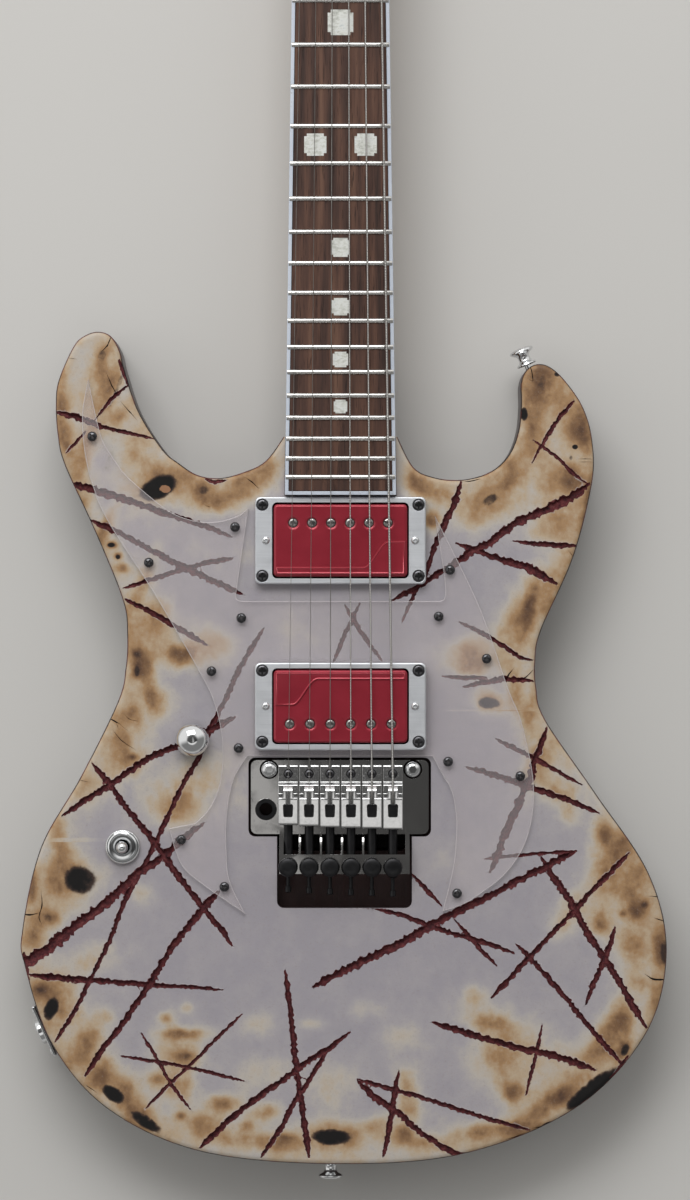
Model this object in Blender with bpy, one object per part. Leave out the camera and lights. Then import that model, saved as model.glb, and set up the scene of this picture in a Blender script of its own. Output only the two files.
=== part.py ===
"""Left-handed double-cutaway electric guitar, gouged and scorched, lying on its flat back.

The centre line is x = 0, the string saddles stand at y = 0, the headstock points along +Y
and the back of the body lies on z = 0.
"""

import math
import random

import bmesh
import bpy
from mathutils import Vector

MM = 0.001
GAP = 0.3 * MM

# Body
BODY_THICKNESS = 44 * MM
BODY_EDGE = 2.5 * MM
OUTLINE_STEP = 9 * MM
NECK_JOINT_Y = 183 * MM
HEEL_TONGUE_LENGTH = 38 * MM
HEEL_TONGUE_WIDTH = 50 * MM
COVER_THICKNESS = 2 * MM
COVER_LIP = 5 * MM
CONTROL_TOP_WALL = 6 * MM
GUARD_THICKNESS = 2.5 * MM
GUARD_SCREW_RADIUS = 2.5 * MM
GUARD_SCREW_HEIGHT = 1.2 * MM

# Neck and strings
SCALE_LENGTH = 647.7 * MM
BOARD_END_Y = 152.7 * MM
BOARD_WIDTH_AT_END = 57.5 * MM
BOARD_WIDTH_AT_NUT = 43.8 * MM
BOARD_THICKNESS = 6 * MM
BOARD_RISE = 9 * MM
BOARD_RADIUS = 406 * MM
BINDING_WIDTH = 1.9 * MM
FRETS = 24
FRET_WIDTH = 2.6 * MM
FRET_HEIGHT = 1.1 * MM
HEEL_THICKNESS = 19 * MM
SHAFT_THICKNESS = 15 * MM
HEADSTOCK_THICKNESS = 14 * MM
HEADSTOCK_STEP = 4 * MM
NUT_LENGTH = 13 * MM
NUT_CLAMP_HEIGHT = 8 * MM
STRING_COUNT = 6
STRING_PITCH_AT_NUT = 7.1 * MM
STRING_HEIGHT_AT_SADDLE = 56.5 * MM
STRING_GAUGES = [0.25, 0.33, 0.43, 0.66, 0.91, 1.17]
WRAP_TURNS = 1.1
WRAP_STEPS = 7

# Tuners
TUNER_PITCH = 24 * MM
TUNER_PAST_NUT = 51.3 * MM
POST_RADIUS = 3 * MM
POST_HEIGHT = 12 * MM
HOUSING_LENGTH = 15 * MM
HOUSING_WIDTH = 14 * MM
HOUSING_DEPTH = 9.5 * MM
HOUSING_WALL = 3 * MM
BUTTON_REACH = 27 * MM
BUTTON_LENGTH = 11 * MM
BUTTON_WIDTH = 8.5 * MM
BUTTON_THICKNESS = 3.8 * MM
BUTTON_SHAFT_RADIUS = 2 * MM

# Pickups
NECK_PICKUP_Y = 129.2 * MM
BRIDGE_PICKUP_Y = 43.5 * MM
RING_LENGTH = 88.5 * MM
RING_WIDTH = 45.2 * MM
RING_HEIGHT = 5 * MM
RING_CORNER = 2.5 * MM
RING_END_WIDTH = 8.9 * MM
RING_SIDE_WIDTH = 2.95 * MM
COVER_END_GAP = 0.75 * MM
COVER_SIDE_GAP = 0.85 * MM
LEG_INSET = 3 * MM
LEG_WIDTH = 12 * MM
LEG_THICKNESS = 1.6 * MM
PICKUP_DEPTH = 22 * MM
PICKUP_RISE = 2 * MM
PICKUP_STEP = 0.8 * MM
POLE_RADIUS = 2.1 * MM
POLE_OFFSET = 9.1 * MM
NECK_POLE_PITCH = 9.8 * MM
BRIDGE_POLE_PITCH = 10.5 * MM
RING_SCREW_END_INSET = 3.85 * MM
RING_SCREW_SIDE_INSET = 4.2 * MM
RING_SCREW_RADIUS = 3 * MM
HEIGHT_SCREW_INSET = 5.65 * MM
HEIGHT_SCREW_RADIUS = 1.4 * MM
ROUT_MARGIN = 1.8 * MM

# Tremolo
STRING_PITCH = 10.83 * MM
PIVOT_Y = 10.7 * MM
STUD_LEFT_X = -36.9 * MM
STUD_RIGHT_X = 37.4 * MM
STUD_RADIUS = 4.1 * MM
STUD_WAIST = 3 * MM
STUD_CLEARANCE = 0.9 * MM
STUD_DEPTH = 13 * MM
PLATE_LEFT = -46.4 * MM
PLATE_RIGHT = 45.6 * MM
PLATE_FRONT = 15.5 * MM
PLATE_BACK = -22.8 * MM
PLATE_THICKNESS = 2.8 * MM
PLATE_CORNER = 3 * MM
SHELF_LEFT = -31.6 * MM
SHELF_RIGHT = 35.7 * MM
SHELF_BACK = -43 * MM
SHELF_RAIL = 2.2 * MM
SHELF_RISE = 5.2 * MM
SHELF_THICKNESS = 2.5 * MM
WINDOW_FRONT = -24.5 * MM
WINDOW_BACK = -33 * MM
DIVIDERS = [-21.0, -10.1, 0.8, 11.7]
DIVIDER_WIDTH = 0.9 * MM
ROUT_CLEARANCE = 1.3 * MM
ROUT_DEPTH = 11 * MM
ROUT_BACK = -61.1 * MM
ARM_X = -38.6 * MM
ARM_Y = -10 * MM
ARM_BUSH_RADIUS = 5.7 * MM
ARM_HOLE_RADIUS = 3.4 * MM
ARM_BUSH_RISE = 1.6 * MM
BLOCK_LENGTH = 62 * MM
BLOCK_FRONT = -2.5 * MM
BLOCK_THICKNESS = 13 * MM
BLOCK_FOOT_Z = 5 * MM
SADDLE_WIDTH = 10.2 * MM
SADDLE_FRONT = 13 * MM
SADDLE_BACK = -18.5 * MM
SADDLE_STAGGER = [0.6, 0.0, -0.6, -0.9, -1.2, -1.7]
SADDLE_SHOULDER = -3.6 * MM
SADDLE_NOSE = 4 * MM
CREST_WIDTH = 4.8 * MM
SLOT_WIDTH = 2.6 * MM
CLAMP_WIDTH = 4.4 * MM
CLAMP_FRONT = -7.3 * MM
CLAMP_BACK = -13.5 * MM
LOCK_SCREW_RADIUS = 2.3 * MM
LOCK_SCREW_BACK = -44 * MM
LOCK_TAIL_BACK = -53.5 * MM
FINE_TUNER_Y = -39.4 * MM
FINE_TUNER_RADIUS = 5.1 * MM
FINE_TUNER_HEIGHT = 6 * MM
FINE_TUNER_STEM = 1.7 * MM
SPRING_X = [-17.0, 0.0, 17.0]
SPRING_RADIUS = 4 * MM
SPRING_HEIGHT_Z = 10 * MM
CLAW_Y = 88 * MM
CLAW_THICKNESS = 3 * MM
SPRING_WELL_WIDTH = 64 * MM
SPRING_WELL_END = 98 * MM
SPRING_WELL_DEPTH = 18 * MM
BLOCK_WELL_BACK = -32 * MM
BLOCK_WELL_FRONT = 5 * MM

# Controls
KNOB_X = -76.6 * MM
KNOB_Y = 26.3 * MM
KNOB_RADIUS = 8.75 * MM
KNOB_HEIGHT = 12.5 * MM
POT_RADIUS = 12 * MM
POT_DEPTH = 10 * MM
SHAFT_RADIUS = 3 * MM
BUSH_RADIUS = 4.7 * MM
NUT_RADIUS = 6 * MM
NUT_HEIGHT = 2 * MM
SWITCH_X = -112.8 * MM
SWITCH_Y = -29.3 * MM
SWITCH_NUT_RADIUS = 9 * MM
SWITCH_NUT_HEIGHT = 3.6 * MM
SWITCH_BORE = 3.7 * MM
SWITCH_BUSH = 6 * MM
SWITCH_PIVOT_DEPTH = 3.5 * MM
LEVER_BALL = 3.3 * MM
LEVER_STEM = 1.3 * MM
LEVER_TIP = 3.1 * MM
LEVER_TIP_LENGTH = 7 * MM
LEVER_LENGTH = 17 * MM
JACK_X = -153.4 * MM
JACK_Y = -125.5 * MM
JACK_ANGLE = math.radians(204.5)
JACK_PLATE_LENGTH = 28 * MM
JACK_PLATE_HEIGHT = 24 * MM
JACK_PLATE_THICKNESS = 1.8 * MM
JACK_NUT_RADIUS = 7 * MM
JACK_BORE = 3.3 * MM
JACK_BARREL = 6.5 * MM
JACK_BARREL_LENGTH = 20 * MM
STRAP_CAP_RADIUS = 6.5 * MM
STRAP_BUTTON_LENGTH = 10 * MM
STRAP_SCREW_RADIUS = 1.6 * MM
STRAP_SCREW_LENGTH = 20 * MM
HORN_BUTTON = (97.6 * MM, 220.6 * MM)
HORN_ANGLE = math.radians(112.3)
TAIL_BUTTON = (-5.2 * MM, -194 * MM)
TAIL_ANGLE = math.radians(-90)

# Levels and places that follow from the sizes above
TOP = BODY_THICKNESS
BOARD_TOP = TOP + BOARD_RISE
BOARD_BOTTOM = BOARD_TOP - BOARD_THICKNESS
NECK_TOP = BOARD_BOTTOM - GAP
POCKET_FLOOR = BOARD_BOTTOM - HEEL_THICKNESS
HEADSTOCK_TOP = NECK_TOP - HEADSTOCK_STEP
HEADSTOCK_BACK = HEADSTOCK_TOP - HEADSTOCK_THICKNESS
GUARD_TOP = TOP + GAP + GUARD_THICKNESS
PLATE_TOP = TOP + GAP
PLATE_BOTTOM = PLATE_TOP - PLATE_THICKNESS
PIVOT_Z = PLATE_TOP - PLATE_THICKNESS / 2
ROUT_FLOOR = TOP - ROUT_DEPTH
SHELF_TOP = PLATE_TOP + SHELF_RISE + SHELF_THICKNESS
SHELF_UNDER = PLATE_TOP + SHELF_RISE
LOCK_SCREW_Z = SHELF_UNDER - GAP - LOCK_SCREW_RADIUS
SADDLE_BASE = PLATE_TOP + GAP
MID_THICKNESS = BODY_THICKNESS / 2
WINDOW_LENGTH = RING_LENGTH - 2 * RING_END_WIDTH
WINDOW_WIDTH = RING_WIDTH - 2 * RING_SIDE_WIDTH
COVER_LENGTH = WINDOW_LENGTH - 2 * COVER_END_GAP
COVER_WIDTH = WINDOW_WIDTH - 2 * COVER_SIDE_GAP
RING_SCREW_X = RING_LENGTH / 2 - RING_SCREW_END_INSET
RING_SCREW_Y = RING_WIDTH / 2 - RING_SCREW_SIDE_INSET
HEIGHT_SCREW_X = RING_LENGTH / 2 - HEIGHT_SCREW_INSET

# Body outline from the bass-side neck corner round the tail to the other corner, in millimetres
BODY_SIDE = [
    (-29.5, 183.0), (-38.9, 170.4), (-50.2, 164.7), (-62.7, 161.6), (-74.1, 163.2),
    (-83.9, 169.4), (-92.2, 176.6), (-104.6, 196.3), (-111.9, 217.6), (-114.5, 227.9),
    (-119.1, 235.2), (-125.4, 237.5), (-132.1, 235.7), (-138.3, 230.0), (-146.1, 212.4),
    (-147.6, 199.9), (-146.6, 183.9), (-143.0, 168.4), (-126.9, 133.1), (-112.9, 98.4),
    (-110.6, 80.3), (-111.4, 63.2), (-115.5, 45.6), (-134.7, 6.7), (-155.4, -30.0),
    (-165.0, -72.5), (-163.7, -91.7), (-149.2, -132.6), (-120.2, -165.8), (-72.5, -187.5),
    (-5.2, -194.0), (62.2, -189.1), (120.7, -165.8), (157.5, -127.9), (169.1, -85.5),
    (160.1, -44.0), (132.1, -1.6), (106.2, 36.3), (101.5, 52.8), (101.0, 67.3),
    (104.1, 82.9), (120.7, 120.7), (130.5, 159.5), (130.5, 181.3), (125.9, 197.9),
    (117.1, 211.3), (108.8, 219.1), (102.0, 220.7), (96.3, 217.6), (93.5, 210.8),
    (93.5, 199.4), (92.2, 186.5), (88.1, 175.1), (81.3, 167.3), (72.5, 162.7),
    (60.6, 160.6), (48.2, 162.1), (37.8, 167.3), (29.5, 183.0),
]

# Pickguard edge as smooth runs that meet at sharp corners, in millimetres
GUARD_RUNS = [
    [(-130.5, 213.4), (-133.6, 195.3), (-132.6, 176.1), (-128.5, 158.5), (-120.2, 138.8),
     (-96.3, 101.5), (-73.6, 62.2), (-65.3, 45.1), (-61.1, 24.3), (-62.2, 5.2),
     (-67.3, -8.3), (-75.1, -17.1)],
    [(-75.1, -17.1), (-88.6, -19.7)],
    [(-88.6, -19.7), (-85.0, -32.6), (-77.7, -44.0), (-49.2, -64.2)],
    [(-49.2, -64.2), (-57.5, -46.6), (-59.1, -31.1), (-59.1, -16.6), (-57.5, -3.1),
     (-54.4, 7.8), (-48.2, 17.6)],
    [(-48.2, 17.6), (47.7, 17.6)],
    [(47.7, 17.6), (52.3, 8.8), (57.5, -0.5), (59.8, -13.0), (59.8, -25.9),
     (58.0, -41.4), (52.8, -62.7)],
    [(52.8, -62.7), (61.1, -60.1), (69.9, -55.4), (86.0, -42.5), (96.9, -23.8),
     (100.0, 2.6), (93.8, 34.7), (86.5, 53.4), (71.5, 95.8), (48.7, 142.5)],
    [(48.7, 142.5), (53.5, 112.0), (54.4, 101.0)],
    [(54.4, 101.0), (53.6, 98.8), (51.5, 97.9)],
    [(51.5, 97.9), (-51.5, 97.9)],
    [(-51.5, 97.9), (-53.5, 98.7), (-54.2, 100.6)],
    [(-54.2, 100.6), (-47.7, 146.1)],
    [(-47.7, 146.1), (-51.8, 142.7), (-59.1, 139.9), (-66.3, 138.8), (-75.1, 139.3),
     (-85.5, 142.7), (-94.3, 148.5), (-110.3, 162.3), (-117.6, 172.0), (-123.5, 182.1),
     (-127.9, 199.6), (-130.5, 213.4)],
]
GUARD_SCREWS = [
    (-128.5, 183.1), (-54.6, 136.2), (-99.2, 117.8), (-51.3, 89.1), (-66.8, 61.6),
    (-52.8, 21.8), (-82.4, -25.6), (-60.1, -50.0), (56.7, 114.0), (50.8, 89.9),
    (75.6, 68.1), (55.7, 14.8), (93.0, 7.3), (60.3, -53.4),
]

# Control cavity in the back, in millimetres
CONTROL_CAVITY = [
    (-58.0, 26.0), (-66.0, 42.0), (-84.0, 44.0), (-101.0, 30.0), (-128.0, -6.0),
    (-148.0, -52.0), (-152.0, -86.0), (-144.0, -118.0), (-132.0, -132.0), (-116.0, -130.0),
    (-106.0, -108.0), (-96.0, -62.0), (-84.0, -20.0), (-66.0, 2.0),
]

# Gouges in the front as picture points, each with its width at both ends, all in pixels
PIXEL = 0.518 * MM
CENTRE_LINE_PX = 340.5
SADDLE_LINE_PX = 790.0
GOUGES_PX = [
    ([(56, 412), (80, 418), (100, 426), (155, 439)], 7, 2),
    ([(128, 385), (112, 399), (97, 417)], 4, 3),
    ([(86, 431), (66, 453)], 4, 3),
    ([(71, 483), (100, 492), (135, 503), (170, 515), (205, 526), (232, 537)], 8, 4),
    ([(90, 520), (125, 536), (160, 555), (190, 570), (215, 582), (242, 594)], 5, 6),
    ([(123, 588), (150, 580), (190, 567), (233, 558)], 4, 5),
    ([(125, 599), (160, 617), (185, 632), (207, 645)], 5, 5),
    ([(264, 628), (240, 668), (225, 700), (210, 730), (197, 760), (180, 790), (152, 850),
      (125, 900), (110, 940), (90, 980), (75, 1010), (55, 1042)], 5, 4),
    ([(235, 717), (213, 728), (175, 747), (150, 757), (110, 785), (90, 797), (62, 816)], 7, 5),
    ([(92, 763), (111, 786), (127, 809), (147, 833), (164, 856), (180, 878), (203, 908),
      (220, 928), (232, 946)], 6, 6),
    ([(204, 823), (180, 841), (161, 858), (133, 878), (104, 904), (76, 926), (51, 946),
      (24, 963), (14, 969)], 6, 12),
    ([(219, 891), (203, 909), (180, 937), (164, 960), (149, 985), (133, 1008), (118, 1030),
      (104, 1047), (85, 1076)], 7, 5),
    ([(30, 975), (60, 978), (100, 981), (150, 985), (190, 987), (223, 990)], 7, 3),
    ([(141, 1033), (155, 1055), (170, 1082), (190, 1109)], 3, 3),
    ([(121, 1056), (160, 1062), (200, 1070), (244, 1081)], 3, 3),
    ([(242, 1014), (215, 1040), (190, 1065), (165, 1088), (146, 1108)], 3, 3),
    ([(285, 970), (288, 994), (292, 1025), (295, 1056), (298, 1078), (302, 1107), (306, 1135),
      (309, 1157)], 5, 6),
    ([(350, 1032), (330, 1047), (310, 1060), (290, 1075), (265, 1092), (245, 1107),
      (220, 1128), (200, 1148)], 5, 6),
    ([(331, 1045), (319, 1064), (305, 1087), (293, 1104), (282, 1126), (261, 1157)], 4, 5),
    ([(411, 873), (425, 888), (442, 906)], 4, 4),
    ([(455, 920), (475, 943), (497, 966)], 4, 4),
    ([(376, 909), (401, 915), (430, 926), (458, 935), (486, 943), (514, 953)], 4, 5),
    ([(576, 851), (545, 867), (506, 887), (480, 901), (444, 918), (415, 935), (382, 952),
      (353, 966), (313, 987)], 7, 8),
    ([(484, 859), (510, 856), (545, 853), (577, 851)], 3, 3),
    ([(547, 727), (540, 748), (534, 762), (530, 780), (522, 795), (514, 814), (504, 836),
      (497, 856), (490, 872)], 6, 8),
    ([(466, 767), (494, 775), (525, 785), (542, 791), (571, 801), (599, 813)], 6, 5),
    ([(496, 739), (530, 756), (559, 772), (582, 785)], 5, 3),
    ([(574, 401), (560, 417), (550, 432), (540, 448), (532, 463)], 5, 2),
    ([(533, 440), (545, 448), (560, 460), (575, 475), (588, 484)], 3, 3),
    ([(589, 484), (568, 499), (540, 512), (514, 524), (494, 540), (475, 550), (458, 561),
      (438, 574), (415, 588), (391, 601)], 9, 5),
    ([(456, 543), (478, 551), (503, 560), (528, 568), (557, 584)], 4, 9),
    ([(513, 541), (540, 544), (577, 546)], 3, 6),
    ([(461, 482), (454, 503), (444, 526), (435, 546), (426, 572), (415, 592), (402, 622)], 7, 3),
    ([(459, 622), (480, 632), (505, 647), (520, 657), (533, 660)], 4, 4),
    ([(442, 676), (466, 678), (486, 677)], 4, 4),
    ([(463, 687), (486, 682), (506, 679), (533, 681)], 5, 5),
    ([(541, 857), (554, 878), (575, 909), (588, 935), (604, 957), (621, 985), (641, 1019),
      (647, 1028)], 7, 6),
    ([(629, 853), (610, 873), (590, 893), (577, 908), (555, 930), (530, 957), (510, 978),
      (491, 998)], 5, 5),
    ([(516, 944), (530, 958), (550, 980), (570, 1003), (590, 1028), (610, 1050),
      (622, 1065)], 5, 5),
    ([(615, 927), (608, 950), (600, 970), (593, 985), (586, 1004)], 5, 5),
    ([(432, 1022), (460, 1031), (490, 1040), (520, 1048), (550, 1055), (575, 1062),
      (595, 1070)], 6, 7),
    ([(542, 1025), (537, 1050), (532, 1070), (526, 1095)], 3, 3),
    ([(357, 1079), (395, 1090), (430, 1100), (470, 1113), (500, 1122), (530, 1130)], 4, 4),
    ([(357, 1080), (375, 1098), (395, 1110), (415, 1128), (435, 1142), (455, 1153),
      (470, 1154)], 6, 5),
    ([(399, 1071), (395, 1090), (392, 1110), (388, 1135), (383, 1157)], 5, 5),
    ([(345, 605), (353, 619), (368, 642), (382, 661)], 4, 4),
    ([(360, 603), (351, 622), (345, 634), (333, 663)], 4, 4),
]
GOUGE_SLOPE = 0.9
GOUGE_DEPTH_LIMIT = 2.6 * MM
GOUGE_LIFT = 1.2 * MM
GOUGE_RAGGEDNESS = 0.22


# Points and outlines

def millimetres(points):
    """Scale a list of points written in millimetres to metres."""
    return [(x * MM, y * MM) for x, y in points]


def smooth_run(points, step):
    """Sample a smooth curve through the points, about one sample for each step of length."""
    ends = [points[0]] + list(points) + [points[-1]]
    run = []
    for a, b, c, d in zip(ends, ends[1:], ends[2:], ends[3:]):
        a, b, c, d = Vector(a), Vector(b), Vector(c), Vector(d)
        samples = max(1, round((c - b).length / step))
        for index in range(samples):
            t = index / samples
            run.append(0.5 * (2 * b + (c - a) * t + (2 * a - 5 * b + 4 * c - d) * t ** 2
                              + (3 * b - a - 3 * c + d) * t ** 3))
    run.append(Vector(points[-1]))
    return run


def circle(x, y, radius, sides, start=0.0):
    """Points of a circle in the plan view."""
    turns = [start + 2 * math.pi * index / sides for index in range(sides)]
    return [(x + radius * math.cos(turn), y + radius * math.sin(turn)) for turn in turns]


def rounded(x0, y0, x1, y1, radius, steps=3):
    """Points of a rectangle with round corners."""
    corners = [(x1 - radius, y1 - radius, 0), (x0 + radius, y1 - radius, 90),
               (x0 + radius, y0 + radius, 180), (x1 - radius, y0 + radius, 270)]
    points = []
    for cx, cy, start in corners:
        for index in range(steps + 1):
            turn = math.radians(start + 90 * index / steps)
            points.append((cx + radius * math.cos(turn), cy + radius * math.sin(turn)))
    return points


def offset(outline, distance):
    """Move a closed counter-clockwise outline outwards by a distance."""
    moved = []
    count = len(outline)
    for index, point in enumerate(outline):
        before = Vector(outline[index - 1]).to_2d()
        after = Vector(outline[(index + 1) % count]).to_2d()
        here = Vector(point).to_2d()
        arriving = (here - before).normalized()
        leaving = (after - here).normalized()
        along = (arriving + leaving).normalized()
        outwards = Vector((along.y, -along.x))
        stretch = min(2.0, 1 / max(0.5, along.dot(leaving)))
        moved.append(here + outwards * distance * stretch)
    return moved


def string_x(number, pitch):
    """Sideways place of a string, the thinnest being number 1 at the left."""
    return (number - (STRING_COUNT + 1) / 2) * pitch


def crown(x):
    """How far the fretboard's curved top has dropped at a distance from the centre line."""
    return x ** 2 / (2 * BOARD_RADIUS)


def board_half_width(y):
    """Half of the fretboard's width at a place along the neck."""
    share = (y - BOARD_END_Y) / (SCALE_LENGTH - BOARD_END_Y)
    return (BOARD_WIDTH_AT_END + (BOARD_WIDTH_AT_NUT - BOARD_WIDTH_AT_END) * share) / 2


def photo_point(px, py):
    """Place on the front of the body of a picture point."""
    return Vector(((px - CENTRE_LINE_PX) * PIXEL, (SADDLE_LINE_PX - py) * PIXEL))


# Solids

def stack(rings):
    """Closed solid through rings of equally many points, with flat ends."""
    shape = bmesh.new()
    loops = [[shape.verts.new(point) for point in ring] for ring in rings]
    count = len(loops[0])
    for lower, upper in zip(loops, loops[1:]):
        for index in range(count):
            after = (index + 1) % count
            shape.faces.new((lower[index], lower[after], upper[after], upper[index]))
    shape.faces.new(loops[0][::-1])
    shape.faces.new(loops[-1])
    bmesh.ops.recalc_face_normals(shape, faces=shape.faces)
    return shape


def ring(outline, z):
    """A plan outline lifted to a height."""
    return [(point[0], point[1], z) for point in outline]


def prism(outline, low, high):
    """Upright solid on a plan outline."""
    return stack([ring(outline, low), ring(outline, high)])


def eased_prism(outline, low, high, ease):
    """Upright solid whose top edge is eased."""
    return stack([ring(outline, low), ring(outline, high - ease),
                  ring(offset(outline, -0.3 * ease), high - 0.3 * ease),
                  ring(offset(outline, -ease), high)])


def box(x0, y0, z0, x1, y1, z1):
    """Plain block between two corners."""
    return prism([(x0, y0), (x1, y0), (x1, y1), (x0, y1)], z0, z1)


def turned(profile, base, axis, sides):
    """Solid of revolution: pairs of radius and height along an axis from a base point."""
    turn = Vector(axis).to_track_quat("Z", "Y")
    base = Vector(base)
    rings = []
    for radius, height in profile:
        loop = circle(0, 0, radius, sides, math.pi / sides)
        rings.append([base + turn @ Vector((x, y, height)) for x, y in loop])
    return stack(rings)


def side_prism(profile, x0, x1):
    """Solid with a profile of y and z pairs, drawn out sideways."""
    return stack([[(x0, y, z) for y, z in profile], [(x1, y, z) for y, z in profile]])


def place(name, shape, origin=(0, 0, 0)):
    """Make an object from a solid in model space, with its origin at the given point."""
    origin = Vector(origin)
    bmesh.ops.translate(shape, verts=shape.verts, vec=-origin)
    mesh = bpy.data.meshes.new(name)
    shape.to_mesh(mesh)
    shape.free()
    thing = bpy.data.objects.new(name, mesh)
    thing.location = origin
    bpy.context.scene.collection.objects.link(thing)
    return thing


def combine(target, shapes, operation):
    """Cut solids out of an object, or join them to it."""
    tools = [place("tool", shape) for shape in shapes]
    for tool in tools:
        step = target.modifiers.new(operation.lower(), "BOOLEAN")
        step.operation = operation
        step.solver = "EXACT"
        step.object = tool
    bpy.context.view_layer.update()
    graph = bpy.context.evaluated_depsgraph_get()
    finished = bpy.data.meshes.new_from_object(target.evaluated_get(graph))
    target.modifiers.clear()
    target.data = finished
    finished.name = target.name
    for tool in tools:
        bpy.data.objects.remove(tool)


def cut(target, shapes):
    """Take solids away from an object."""
    combine(target, shapes, "DIFFERENCE")


def join(target, shapes):
    """Add solids that reach into an object."""
    combine(target, shapes, "UNION")


def finish(thing, colour, roughness, metallic, smooth_angle=40):
    """Give an object its material and shade its round faces smooth."""
    coat = bpy.data.materials.new(thing.name)
    coat.use_nodes = True
    surface = coat.node_tree.nodes["Principled BSDF"]
    surface.inputs["Base Color"].default_value = (*colour, 1)
    surface.inputs["Roughness"].default_value = roughness
    surface.inputs["Metallic"].default_value = metallic
    thing.data.materials.clear()
    thing.data.materials.append(coat)
    thing.data.shade_smooth()
    thing.data.set_sharp_from_angle(angle=math.radians(smooth_angle))
    return thing


def chrome(thing):
    """Bright plated metal."""
    return finish(thing, (0.78, 0.78, 0.78), 0.12, 1.0)


def black_steel(thing):
    """Blackened steel."""
    return finish(thing, (0.03, 0.03, 0.03), 0.4, 0.6)


# Body and its covers

def gouge(points, start_width, end_width, dice):
    """Ragged groove cutter along a path of picture points."""
    path = [photo_point(px, py) for px, py in points]
    rings = []
    for index, here in enumerate(path):
        before = path[max(0, index - 1)]
        after = path[min(len(path) - 1, index + 1)]
        along = (after - before).normalized()
        across = Vector((-along.y, along.x))
        share = index / (len(path) - 1)
        width = (start_width + (end_width - start_width) * share) * PIXEL
        half = width / 2 * (1 + dice.uniform(-GOUGE_RAGGEDNESS, GOUGE_RAGGEDNESS))
        if index in (0, len(path) - 1):
            half = half * 0.4
        depth = min(GOUGE_DEPTH_LIMIT, 2 * half * GOUGE_SLOPE)
        reach = half * (depth + GOUGE_LIFT) / depth
        middle = here + across * half * dice.uniform(-GOUGE_RAGGEDNESS, GOUGE_RAGGEDNESS)
        left = middle + across * reach
        right = middle - across * reach
        rings.append([(left.x, left.y, TOP + GOUGE_LIFT), (middle.x, middle.y, TOP - depth),
                      (right.x, right.y, TOP + GOUGE_LIFT)])
    return stack(rings)


def trem_rout_outline():
    """The stepped opening in the front round the tremolo."""
    left = PLATE_LEFT - ROUT_CLEARANCE
    right = PLATE_RIGHT + ROUT_CLEARANCE
    front = PLATE_FRONT + ROUT_CLEARANCE
    back = PLATE_BACK - ROUT_CLEARANCE
    return rounded(left, back, right, front, PLATE_CORNER)


def trem_tail_outline():
    """The narrower opening behind the tremolo."""
    left = SHELF_LEFT - ROUT_CLEARANCE
    right = SHELF_RIGHT + ROUT_CLEARANCE
    return rounded(left, ROUT_BACK, right, PLATE_FRONT, PLATE_CORNER)


def pickup_rout(y):
    """Well under a pickup."""
    half_length = RING_LENGTH / 2 - ROUT_MARGIN
    half_width = RING_WIDTH / 2 - ROUT_MARGIN
    outline = rounded(-half_length, y - half_width, half_length, y + half_width, 4 * MM)
    floor = TOP + RING_HEIGHT + PICKUP_RISE - PICKUP_DEPTH - 3 * MM
    return prism(outline, floor, TOP + GUARD_THICKNESS)


def neck_outline(grow, y0, y1):
    """Plan of the neck's heel between two places, grown sideways by a clearance."""
    low = board_half_width(y0) + grow
    high = board_half_width(y1) + grow
    return [(-low, y0), (low, y0), (high, y1), (-high, y1)]


def jack_frame():
    """Outward, sideways and centre vectors of the jack on the lower edge."""
    outwards = Vector((math.cos(JACK_ANGLE), math.sin(JACK_ANGLE), 0))
    sideways = Vector((-outwards.y, outwards.x, 0))
    return outwards, sideways, Vector((JACK_X, JACK_Y, MID_THICKNESS))


def jack_slab(length, height, near, far):
    """Upright slab facing the jack, between two distances along its outward direction."""
    outwards, sideways, centre = jack_frame()
    half = Vector((0, 0, height / 2))
    rings = []
    for distance in (near, far):
        middle = centre + outwards * distance
        side = sideways * length / 2
        rings.append([middle - side - half, middle + side - half,
                      middle + side + half, middle - side + half])
    return stack(rings)


def spring_cover_outline(grow):
    """Plate that closes the spring well in the back."""
    half = SPRING_WELL_WIDTH / 2 + COVER_LIP + 4 * MM + grow
    back = BLOCK_WELL_BACK - COVER_LIP - grow
    return rounded(-half, back, half, SPRING_WELL_END + COVER_LIP + grow, 6 * MM)


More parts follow.
